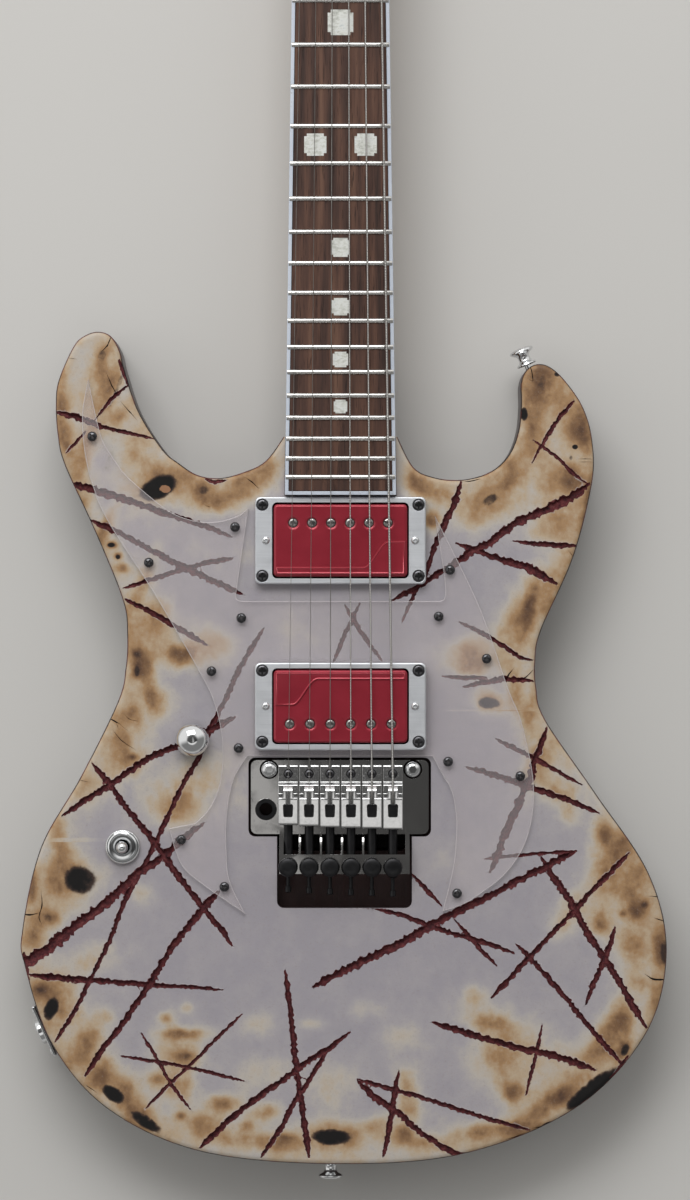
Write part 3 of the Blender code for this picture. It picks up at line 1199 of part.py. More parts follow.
def make_volume_control():
    """Domed volume knob on its shaft, and the pot under the top."""
    seat = TOP + GAP
    under = TOP - CONTROL_TOP_WALL - GAP
    pot = place("volume_pot", turned([(POT_RADIUS, -POT_DEPTH), (POT_RADIUS, 0)],
                                     (KNOB_X, KNOB_Y, under), (0, 0, 1), 20))
    bush = turned([(BUSH_RADIUS, under - MM), (BUSH_RADIUS, seat)], (KNOB_X, KNOB_Y, 0),
                  (0, 0, 1), 16)
    nut = turned([(NUT_RADIUS, seat), (NUT_RADIUS, seat + NUT_HEIGHT)], (KNOB_X, KNOB_Y, 0),
                 (0, 0, 1), 6)
    join(pot, [bush])
    join(pot, [nut])
    bore = turned([(SHAFT_RADIUS + GAP, under - 6 * MM), (SHAFT_RADIUS + GAP, seat + 5 * MM)],
                  (KNOB_X, KNOB_Y, 0), (0, 0, 1), 16)
    cut(pot, [bore])
    finish(pot, (0.6, 0.6, 0.58), 0.35, 1.0)
    lift = NUT_HEIGHT + GAP
    profile = [(SHAFT_RADIUS, under - 5 * MM - seat), (SHAFT_RADIUS, lift - 0.1 * MM),
               (0.97 * KNOB_RADIUS, lift), (KNOB_RADIUS, lift + 0.6 * MM),
               (0.97 * KNOB_RADIUS, KNOB_HEIGHT - 4 * MM), (0.93 * KNOB_RADIUS, KNOB_HEIGHT - 2 * MM),
               (0.8 * KNOB_RADIUS, KNOB_HEIGHT - 0.7 * MM), (0.45 * KNOB_RADIUS, KNOB_HEIGHT)]
    knob = turned(profile, (KNOB_X, KNOB_Y, seat), (0, 0, 1), 20)
    chrome(place("volume_knob", knob, (KNOB_X, KNOB_Y, seat + lift)))


def make_switch():
    """Three-way toggle switch with a round nut, and its lever."""
    seat = TOP + GAP
    under = TOP - CONTROL_TOP_WALL - GAP
    case = box(SWITCH_X - 7 * MM, SWITCH_Y - 13 * MM, under - 18 * MM, SWITCH_X + 7 * MM,
               SWITCH_Y + 13 * MM, under)
    switch = place("switch_body", case)
    nut = turned([(SWITCH_NUT_RADIUS, 0), (SWITCH_NUT_RADIUS, 0.55 * SWITCH_NUT_HEIGHT),
                  (0.84 * SWITCH_NUT_RADIUS, SWITCH_NUT_HEIGHT),
                  (0.62 * SWITCH_NUT_RADIUS, 0.86 * SWITCH_NUT_HEIGHT)],
                 (SWITCH_X, SWITCH_Y, seat), (0, 0, 1), 24)
    bush = turned([(SWITCH_BUSH, under - MM), (SWITCH_BUSH, seat + MM)], (SWITCH_X, SWITCH_Y, 0),
                  (0, 0, 1), 16)
    join(switch, [bush, nut])
    pivot = TOP - SWITCH_PIVOT_DEPTH
    bore = turned([(SWITCH_BORE, pivot - LEVER_BALL - GAP), (SWITCH_BORE, TOP + 10 * MM)],
                  (SWITCH_X, SWITCH_Y, 0), (0, 0, 1), 16)
    cut(switch, [bore])
    chrome(switch)
    ball = []
    for index in range(1, 6):
        turn = math.pi * index / 7 - math.pi / 2
        ball.append((LEVER_BALL * math.cos(turn), LEVER_BALL * math.sin(turn)))
    tip = LEVER_LENGTH
    shoulder = tip - LEVER_TIP_LENGTH
    profile = ball + [(LEVER_STEM, LEVER_BALL + 0.4 * MM), (LEVER_STEM, shoulder),
                      (0.85 * LEVER_TIP, shoulder + 0.6 * MM), (LEVER_TIP, shoulder + 3 * MM),
                      (LEVER_TIP, tip - 2.6 * MM), (0.8 * LEVER_TIP, tip - 0.9 * MM),
                      (0.35 * LEVER_TIP, tip)]
    lever = turned(profile, (SWITCH_X, SWITCH_Y, pivot), (0, 0, 1), 10)
    chrome(place("switch_lever", lever, (SWITCH_X, SWITCH_Y, pivot)))


def make_jack():
    """Output jack and the plate that holds it in the lower edge."""
    outwards, sideways, centre = jack_frame()
    plate = place("jack_plate", jack_slab(JACK_PLATE_LENGTH, JACK_PLATE_HEIGHT, 0,
                                          JACK_PLATE_THICKNESS))
    hole = turned([(BUSH_RADIUS + GAP, -MM), (BUSH_RADIUS + GAP, 5 * MM)], centre, outwards, 16)
    cut(plate, [hole])
    chrome(plate)
    socket = place("jack_socket", turned([(JACK_BARREL, -JACK_BARREL_LENGTH), (JACK_BARREL, -GAP),
                                          (BUSH_RADIUS, -0.2 * MM),
                                          (BUSH_RADIUS, JACK_PLATE_THICKNESS + MM)],
                                         centre, outwards, 16))
    near = JACK_PLATE_THICKNESS + GAP
    nut = turned([(JACK_NUT_RADIUS, near), (JACK_NUT_RADIUS, near + 2.4 * MM),
                  (0.8 * JACK_NUT_RADIUS, near + 3 * MM)], centre, outwards, 12)
    join(socket, [nut])
    bore = turned([(JACK_BORE, -0.8 * JACK_BARREL_LENGTH), (JACK_BORE, 10 * MM)], centre,
                  outwards, 12)
    cut(socket, [bore])
    chrome(socket)


def make_strap_buttons():
    """Two strap buttons, each with its screw in the body."""
    for name, spot, angle in (("strap_button_horn", HORN_BUTTON, HORN_ANGLE),
                              ("strap_button_tail", TAIL_BUTTON, TAIL_ANGLE)):
        axis = Vector((math.cos(angle), math.sin(angle), 0))
        length = STRAP_BUTTON_LENGTH
        cap = STRAP_CAP_RADIUS
        profile = [(STRAP_SCREW_RADIUS, -STRAP_SCREW_LENGTH), (STRAP_SCREW_RADIUS, GAP),
                   (0.8 * cap, 2 * GAP), (0.5 * cap, 0.3 * length), (0.5 * cap, 0.6 * length),
                   (cap, 0.85 * length), (0.85 * cap, length)]
        button = turned(profile, (*spot, MID_THICKNESS), axis, 12)
        chrome(place(name, button))


# Strings

def string_route(number):
    """Middle line of a string from its clamp in the saddle to its tuner post."""
    wire = STRING_GAUGES[number - 1] * MM / 2
    x0 = string_x(number, STRING_PITCH)
    x1 = string_x(number, STRING_PITCH_AT_NUT)
    crest = STRING_HEIGHT_AT_SADDLE - crown(x0) + wire
    height = string_at_nut(number)
    nut_back = SCALE_LENGTH + NUT_LENGTH + GAP
    route = [(x0, CLAMP_FRONT + 0.6 * MM, crest - 3.2 * MM), (x0, -3 * MM, crest - 0.9 * MM),
             (x0, -MM, crest - 0.1 * MM), (x0, 0.4 * MM, crest),
             (x1, SCALE_LENGTH - MM, height), (x1, nut_back, height),
             (x1, bar_y() - 2 * MM, bar_string_z()), (x1, bar_y() + 2 * MM, bar_string_z() - 0.2 * MM)]
    post = tuner_place(STRING_COUNT + 1 - number)
    wrap_z = HEADSTOCK_TOP + 6.2 * MM
    route.append((x1, post.y - 8 * MM, wrap_z + 0.6 * MM))
    reach = POST_RADIUS + GAP + wire
    for index in range(WRAP_STEPS + 1):
        share = index / WRAP_STEPS
        angle = math.pi - 2 * math.pi * WRAP_TURNS * share
        drop = share * (2.4 * wire + 0.8 * MM)
        route.append((post.x + reach * math.cos(angle), post.y + reach * math.sin(angle),
                      wrap_z - drop))
    return route


def make_string(number):
    """One string as a round wire along its route."""
    route = string_route(number)
    curve = bpy.data.curves.new(f"string_{number}", "CURVE")
    curve.dimensions = "3D"
    curve.bevel_depth = STRING_GAUGES[number - 1] * MM / 2
    curve.bevel_resolution = 2
    curve.use_fill_caps = True
    line = curve.splines.new("POLY")
    line.points.add(len(route) - 1)
    for point, place_on_route in zip(line.points, route):
        point.co = (*place_on_route, 1)
    string = bpy.data.objects.new(f"string_{number}", curve)
    bpy.context.scene.collection.objects.link(string)
    steel = bpy.data.materials.new(string.name)
    steel.use_nodes = True
    surface = steel.node_tree.nodes["Principled BSDF"]
    surface.inputs["Base Color"].default_value = (0.6, 0.59, 0.57, 1)
    surface.inputs["Roughness"].default_value = 0.25
    surface.inputs["Metallic"].default_value = 1.0
    curve.materials.append(steel)


def build():
    """Clear the scene and make the guitar."""
    for thing in list(bpy.data.objects):
        bpy.data.objects.remove(thing)
    make_body()
    make_covers()
    make_pickguard()
    make_neck()
    make_truss_rod()
    make_fretboard()
    make_binding()
    make_locking_nut()
    make_retainer_bar()
    make_tuners()
    make_pickups()
    make_tremolo()
    make_volume_control()
    make_switch()
    make_jack()
    make_strap_buttons()
    for number in range(1, STRING_COUNT + 1):
        make_string(number)


build()
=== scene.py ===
"""Looks of the gouged and scorched electric guitar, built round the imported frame."""
import math
import random

import bmesh
import bpy
import numpy as np
from mathutils import Matrix, Vector
from mathutils.geometry import delaunay_2d_cdt


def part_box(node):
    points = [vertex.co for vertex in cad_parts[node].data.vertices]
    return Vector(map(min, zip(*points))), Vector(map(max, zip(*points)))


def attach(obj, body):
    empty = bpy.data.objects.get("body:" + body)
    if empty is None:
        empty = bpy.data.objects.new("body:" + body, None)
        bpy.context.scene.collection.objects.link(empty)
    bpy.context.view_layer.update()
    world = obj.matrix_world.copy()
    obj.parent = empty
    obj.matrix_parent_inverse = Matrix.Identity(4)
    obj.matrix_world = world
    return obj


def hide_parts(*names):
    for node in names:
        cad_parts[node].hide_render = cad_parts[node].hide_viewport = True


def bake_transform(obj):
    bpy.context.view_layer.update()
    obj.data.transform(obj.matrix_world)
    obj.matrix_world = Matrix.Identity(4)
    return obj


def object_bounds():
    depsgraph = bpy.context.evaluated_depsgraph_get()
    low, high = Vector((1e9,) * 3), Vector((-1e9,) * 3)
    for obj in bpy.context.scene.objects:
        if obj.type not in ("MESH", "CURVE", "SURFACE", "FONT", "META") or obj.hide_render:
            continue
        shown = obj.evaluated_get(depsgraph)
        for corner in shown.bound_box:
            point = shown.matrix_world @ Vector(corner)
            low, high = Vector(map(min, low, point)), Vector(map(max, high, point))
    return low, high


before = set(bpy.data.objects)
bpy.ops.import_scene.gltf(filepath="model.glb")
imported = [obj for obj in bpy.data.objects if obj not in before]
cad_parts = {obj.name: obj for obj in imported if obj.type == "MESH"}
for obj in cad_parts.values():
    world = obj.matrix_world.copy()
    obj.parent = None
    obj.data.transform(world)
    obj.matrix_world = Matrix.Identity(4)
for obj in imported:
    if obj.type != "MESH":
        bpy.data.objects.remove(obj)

CAD_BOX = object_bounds()
MM = 0.001
GAP = 0.3 * MM

# Picture scale: the string saddles stand on one pixel row and the centre line on one column
PIXEL = 0.518 * MM
CENTRE_LINE_PX = 340.5
SADDLE_LINE_PX = 790.0
PICTURE_WIDTH_PX = 690
PICTURE_HEIGHT_PX = 1200
CAMERA_HEIGHT = 2500 * MM
SENSOR = 36.0

# Body levels and routs, as in the CAD
TOP = 44 * MM
RIM_RADIUS = 2.5 * MM
RIM_STEP = 1.7 * MM
GRID_STEP = 2.6 * MM
NECK_JOINT_Y = 183 * MM
BOARD_END_Y = 152.7 * MM
POCKET_FLOOR = 28 * MM
POCKET_END_Y = 231 * MM
PICKUP_ROUT_FLOOR = 26 * MM
HEEL_TONGUE = (25 * MM, 221 * MM)
COVER_THICKNESS = 2 * MM
COVER_SEAT = 2.3 * MM
COVER_MARGIN = 5.3 * MM
CONTROL_CEILING = 38 * MM
# Corners, corner radius, floor and top of the tremolo's wells and its cover's, in millimetres
TREMOLO_WELLS = [
    (-47.7, -24.1, 46.9, 16.8, 3.5, 33, 46), (-32.9, -61.1, 37, 15.5, 3.5, 33, 46),
    (-34, -32, 34, 5, 3, -1, 34), (-32, -28, 32, 98, 3, -1, 18),
    (-41.3, -37.3, 41.3, 103.3, 6, -1, 2.3),
]
GUARD_BOTTOM = TOP + GAP
GUARD_TOP = GUARD_BOTTOM + 2.5 * MM
KNOB = (-76.6 * MM, 26.3 * MM)
SWITCH = (-112.8 * MM, -29.3 * MM)
JACK = Vector((-153.4 * MM, -125.5 * MM, 22 * MM))
JACK_OUTWARDS = Vector((math.cos(math.radians(204.5)), math.sin(math.radians(204.5)), 0))
JACK_SIDEWAYS = Vector((-JACK_OUTWARDS.y, JACK_OUTWARDS.x, 0))
NECK_SCREWS = [(x * MM, y * MM) for y in (169, 207) for x in (-17, 17)]
SWITCH_PIVOT_Z = 40.5 * MM
UPWARDS = (0, 0, 1)
DOWNWARDS = (0, 0, -1)

# Pickups and tremolo
NECK_PICKUP_Y = 129.2 * MM
BRIDGE_PICKUP_Y = 43.5 * MM
RING_LENGTH = 88.5 * MM
RING_WIDTH = 45.2 * MM
RING_HEIGHT = 5 * MM
WINDOW_LENGTH = 70.7 * MM
WINDOW_WIDTH = 39.3 * MM
COVER_LENGTH = 69.2 * MM
COVER_WIDTH = 37.6 * MM
COVER_RISE = 2 * MM
ROUT_LENGTH = 84.9 * MM
ROUT_WIDTH = 41.6 * MM
COVER_STEP = 0.8 * MM
RING_SCREW_X = 40.4 * MM
RING_SCREW_Y = 18.4 * MM
HEIGHT_SCREW_X = 38.6 * MM
POLE_OFFSET = 9.1 * MM
STRING_PITCH = 10.83 * MM
SADDLE_STAGGER = [0.6, 0.0, -0.6, -0.9, -1.2, -1.7]
STRING_TOP = 56.5 * MM
BOARD_CURVE = 406 * MM
ARM = (-38.6 * MM, -10 * MM)
STUDS = [(-36.9 * MM, 10.7 * MM), (37.4 * MM, 10.7 * MM)]
PLATE_TOP = TOP + GAP
FINE_TUNER_Y = -39.4 * MM
SHELF_TOP = 52 * MM
SADDLE_SCREW_Y = 8.5 * MM
SADDLE_HALF_WIDTH = 5.1 * MM
SPRING_LEVEL = 10 * MM
SPRING_RADIUS = 3.3 * MM
SPRING_TURNS = 30
LOCK_SCREW_Z = 46.9 * MM

# Neck
SCALE_LENGTH = 647.7 * MM
BOARD_TOP = 53 * MM
BOARD_BOTTOM = 47 * MM
BOARD_HALF_AT_END = 28.75 * MM
BOARD_HALF_AT_NUT = 21.9 * MM
BINDING_WIDTH = 1.9 * MM
FRETS = 24
FRET_HEIGHT = 1.1 * MM
HOUSING_TOP = 28.6 * MM

# Fret above each inlay, its place off the centre line and its size, in millimetres
INLAYS = [(3, 0, 14.5), (5, 0, 14), (7, 0, 13.6), (9, 0, 13.2), (12, -13, 11.5), (12, 13, 11.5),
          (15, 0, 9.8), (17, 0, 9.0), (19, 0, 8.0), (21, 0, 7.0)]

# Outlines on the front, and the control cavity's at the back, in millimetres
BODY_SIDE = [
    (-29.5, 183.0), (-38.9, 170.4), (-50.2, 164.7), (-62.7, 161.6), (-74.1, 163.2),
    (-83.9, 169.4), (-92.2, 176.6), (-104.6, 196.3), (-111.9, 217.6), (-114.5, 227.9),
    (-119.1, 235.2), (-125.4, 237.5), (-132.1, 235.7), (-138.3, 230.0), (-146.1, 212.4),
    (-147.6, 199.9), (-146.6, 183.9), (-143.0, 168.4), (-126.9, 133.1), (-112.9, 98.4),
    (-110.6, 80.3), (-111.4, 63.2), (-115.5, 45.6), (-134.7, 6.7), (-155.4, -30.0),
    (-165.0, -72.5), (-163.7, -91.7), (-149.2, -132.6), (-120.2, -165.8), (-72.5, -187.5),
    (-5.2, -194.0), (62.2, -189.1), (120.7, -165.8), (157.5, -127.9), (169.1, -85.5),
    (160.1, -44.0), (132.1, -1.6), (106.2, 36.3), (101.5, 52.8), (101.0, 67.3),
    (104.1, 82.9), (120.7, 120.7), (130.5, 159.5), (130.5, 181.3), (125.9, 197.9),
    (117.1, 211.3), (108.8, 219.1), (102.0, 220.7), (96.3, 217.6), (93.5, 210.8),
    (93.5, 199.4), (92.2, 186.5), (88.1, 175.1), (81.3, 167.3), (72.5, 162.7),
    (60.6, 160.6), (48.2, 162.1), (37.8, 167.3), (29.5, 183.0),
]
GUARD_RUNS = [
    [(-130.5, 213.4), (-133.6, 195.3), (-132.6, 176.1), (-128.5, 158.5), (-120.2, 138.8),
     (-96.3, 101.5), (-73.6, 62.2), (-65.3, 45.1), (-61.1, 24.3), (-62.2, 5.2),
     (-67.3, -8.3), (-75.1, -17.1)],
    [(-75.1, -17.1), (-88.6, -19.7)],
    [(-88.6, -19.7), (-85.0, -32.6), (-77.7, -44.0), (-49.2, -64.2)],
    [(-49.2, -64.2), (-57.5, -46.6), (-59.1, -31.1), (-59.1, -16.6), (-57.5, -3.1),
     (-54.4, 7.8), (-48.2, 17.6)],
    [(-48.2, 17.6), (47.7, 17.6)],
    [(47.7, 17.6), (52.3, 8.8), (57.5, -0.5), (59.8, -13.0), (59.8, -25.9),
     (58.0, -41.4), (52.8, -62.7)],
    [(52.8, -62.7), (61.1, -60.1), (69.9, -55.4), (86.0, -42.5), (96.9, -23.8),
     (100.0, 2.6), (93.8, 34.7), (86.5, 53.4), (71.5, 95.8), (48.7, 142.5)],
    [(48.7, 142.5), (53.5, 112.0), (54.4, 101.0)],
    [(54.4, 101.0), (53.6, 98.8), (51.5, 97.9)],
    [(51.5, 97.9), (-51.5, 97.9)],
    [(-51.5, 97.9), (-53.5, 98.7), (-54.2, 100.6)],
    [(-54.2, 100.6), (-47.7, 146.1)],
    [(-47.7, 146.1), (-51.8, 142.7), (-59.1, 139.9), (-66.3, 138.8), (-75.1, 139.3),
     (-85.5, 142.7), (-94.3, 148.5), (-110.3, 162.3), (-117.6, 172.0), (-123.5, 182.1),
     (-127.9, 199.6), (-130.5, 213.4)],
]
GUARD_SCREWS = [
    (-128.5, 183.1), (-54.6, 136.2), (-99.2, 117.8), (-51.3, 89.1), (-66.8, 61.6),
    (-52.8, 21.8), (-82.4, -25.6), (-60.1, -50.0), (56.7, 114.0), (50.8, 89.9),
    (75.6, 68.1), (55.7, 14.8), (93.0, 7.3), (60.3, -53.4),
]
CONTROL_CAVITY = [
    (-58.0, 26.0), (-66.0, 42.0), (-84.0, 44.0), (-101.0, 30.0), (-128.0, -6.0),
    (-148.0, -52.0), (-152.0, -86.0), (-144.0, -118.0), (-132.0, -132.0), (-116.0, -130.0),
    (-106.0, -108.0), (-96.0, -62.0), (-84.0, -20.0), (-66.0, 2.0),
]

# Gouges as picture points with a width at both ends, in pixels
GOUGES_PX = [
    ([(56, 412), (80, 418), (100, 426), (155, 439)], 7, 2),
    ([(128, 385), (112, 399), (97, 417)], 4, 3),
    ([(86, 431), (66, 453)], 4, 3),
    ([(71, 483), (100, 492), (135, 503), (170, 515), (205, 526), (232, 537)], 8, 4),
    ([(90, 520), (125, 536), (160, 555), (190, 570), (215, 582), (242, 594)], 5, 6),
    ([(123, 588), (150, 580), (190, 567), (233, 558)], 4, 5),
    ([(125, 599), (160, 617), (185, 632), (207, 645)], 5, 5),
    ([(264, 628), (240, 668), (225, 700), (210, 730), (197, 760), (180, 790), (152, 850),
      (125, 900), (110, 940), (90, 980), (75, 1010), (55, 1042)], 5, 4),
    ([(235, 717), (213, 728), (175, 747), (150, 757), (110, 785), (90, 797), (62, 816)], 7, 5),
    ([(92, 763), (111, 786), (127, 809), (147, 833), (164, 856), (180, 878), (203, 908),
      (220, 928), (232, 946)], 6, 6),
    ([(204, 823), (180, 841), (161, 858), (133, 878), (104, 904), (76, 926), (51, 946),
      (24, 963), (14, 969)], 6, 12),
    ([(219, 891), (203, 909), (180, 937), (164, 960), (149, 985), (133, 1008), (118, 1030),
      (104, 1047), (85, 1076)], 7, 5),
    ([(30, 975), (60, 978), (100, 981), (150, 985), (190, 987), (223, 990)], 7, 3),
    ([(141, 1033), (155, 1055), (170, 1082), (190, 1109)], 3, 3),
    ([(121, 1056), (160, 1062), (200, 1070), (244, 1081)], 3, 3),
    ([(242, 1014), (215, 1040), (190, 1065), (165, 1088), (146, 1108)], 3, 3),
    ([(285, 970), (288, 994), (292, 1025), (295, 1056), (298, 1078), (302, 1107), (306, 1135),
      (309, 1157)], 5, 6),
    ([(350, 1032), (330, 1047), (310, 1060), (290, 1075), (265, 1092), (245, 1107),
      (220, 1128), (200, 1148)], 5, 6),
    ([(331, 1045), (319, 1064), (305, 1087), (293, 1104), (282, 1126), (261, 1157)], 4, 5),
    ([(411, 873), (425, 888), (442, 906)], 4, 4),
    ([(455, 920), (475, 943), (497, 966)], 4, 4),
    ([(376, 909), (401, 915), (430, 926), (458, 935), (486, 943), (514, 953)], 4, 5),
    ([(576, 851), (545, 867), (506, 887), (480, 901), (444, 918), (415, 935), (382, 952),
      (353, 966), (313, 987)], 7, 8),
    ([(484, 859), (510, 856), (545, 853), (577, 851)], 3, 3),
    ([(547, 727), (540, 748), (534, 762), (530, 780), (522, 795), (514, 814), (504, 836),
      (497, 856), (490, 872)], 6, 8),
    ([(466, 767), (494, 775), (525, 785), (542, 791), (571, 801), (599, 813)], 6, 5),
    ([(496, 739), (530, 756), (559, 772), (582, 785)], 5, 3),
    ([(574, 401), (560, 417), (550, 432), (540, 448), (532, 463)], 5, 2),
    ([(533, 440), (545, 448), (560, 460), (575, 475), (588, 484)], 3, 3),
    ([(589, 484), (568, 499), (540, 512), (514, 524), (494, 540), (475, 550), (458, 561),
      (438, 574), (415, 588), (391, 601)], 9, 5),
    ([(456, 543), (478, 551), (503, 560), (528, 568), (557, 584)], 4, 9),
    ([(513, 541), (540, 544), (577, 546)], 3, 6),
    ([(461, 482), (454, 503), (444, 526), (435, 546), (426, 572), (415, 592), (402, 622)], 7, 3),
    ([(459, 622), (480, 632), (505, 647), (520, 657), (533, 660)], 4, 4),
    ([(442, 676), (466, 678), (486, 677)], 4, 4),
    ([(463, 687), (486, 682), (506, 679), (533, 681)], 5, 5),
    ([(541, 857), (554, 878), (575, 909), (588, 935), (604, 957), (621, 985), (641, 1019),
      (647, 1028)], 7, 6),
    ([(629, 853), (610, 873), (590, 893), (577, 908), (555, 930), (530, 957), (510, 978),
      (491, 998)], 5, 5),
    ([(516, 944), (530, 958), (550, 980), (570, 1003), (590, 1028), (610, 1050),
      (622, 1065)], 5, 5),
    ([(615, 927), (608, 950), (600, 970), (593, 985), (586, 1004)], 5, 5),
    ([(432, 1022), (460, 1031), (490, 1040), (520, 1048), (550, 1055), (575, 1062),
      (595, 1070)], 6, 7),
    ([(542, 1025), (537, 1050), (532, 1070), (526, 1095)], 3, 3),
    ([(357, 1079), (395, 1090), (430, 1100), (470, 1113), (500, 1122), (530, 1130)], 4, 4),
    ([(357, 1080), (375, 1098), (395, 1110), (415, 1128), (435, 1142), (455, 1153),
      (470, 1154)], 6, 5),
    ([(399, 1071), (395, 1090), (392, 1110), (388, 1135), (383, 1157)], 5, 5),
    ([(345, 605), (353, 619), (368, 642), (382, 661)], 4, 4),
    ([(360, 603), (351, 622), (345, 634), (333, 663)], 4, 4),
]

# Bare red wood at the edge, in the same form
CHIPS_PX = [
    ([(119, 360), (123, 371), (128, 386)], 7, 3),
    ([(206, 479), (215, 482), (226, 480)], 7, 4),
    ([(516, 418), (510, 438), (499, 456), (482, 471)], 3, 3),
    ([(24, 953), (25, 965), (29, 985)], 9, 4),
    ([(628, 1056), (618, 1070), (610, 1078)], 6, 3),
    ([(470, 473), (480, 470), (492, 463)], 4, 3),
]

# Fine dark cracks and creases, in the same form
CRACKS_PX = [
    ([(20, 914), (30, 915), (39, 913)], 4, 1.5),
    ([(41, 892), (42, 905), (39, 917), (42, 925)], 1.6, 1.6),
    ([(110, 719), (116, 722), (120, 724)], 5, 2),
    ([(116, 722), (119, 730)], 2, 1),
    ([(125, 715), (129, 719), (137, 721)], 1.6, 2),
    ([(122, 726), (128, 731)], 1.6, 1.2),
    ([(113, 730), (121, 740), (134, 749)], 1.4, 1.4),
    ([(78, 780), (89, 782)], 2, 1),
    ([(111, 337), (107, 346), (102, 351)], 3, 2),
    ([(68, 358), (76, 359)], 2, 1.4),
    ([(107, 374), (113, 388), (119, 397)], 1.6, 2),
    ([(121, 402), (128, 410), (137, 420)], 2, 1.2),
    ([(648, 896), (658, 897), (666, 899)], 1.6, 2.6),
    ([(654, 918), (663, 921)], 2, 4),
    ([(645, 974), (653, 979), (665, 980)], 2, 5),
    ([(578, 459), (592, 459)], 1.6, 1.6),
    ([(580, 462), (592, 462)], 1.6, 1.6),
    ([(567, 549), (573, 556), (578, 560)], 1.2, 1.8),
    ([(506, 682), (508, 676), (514, 668)], 6, 1.2),
    ([(516, 682), (526, 677), (533, 670)], 2, 3),
    ([(526, 372), (530, 366), (533, 381), (529, 379)], 1.6, 1.6),
    ([(463, 482), (472, 481), (480, 479)], 2, 3),
    ([(244, 477), (252, 482), (258, 488)], 1.6, 2.4),
    ([(203, 504), (209, 507)], 1.4, 3),
    ([(150, 1155), (158, 1158), (175, 1167)], 3, 2),
    ([(533, 1128), (545, 1126), (556, 1121)], 2, 5),
    ([(505, 1140), (515, 1137), (525, 1133)], 2, 2),
    ([(87, 1086), (96, 1092)], 4, 2),
]

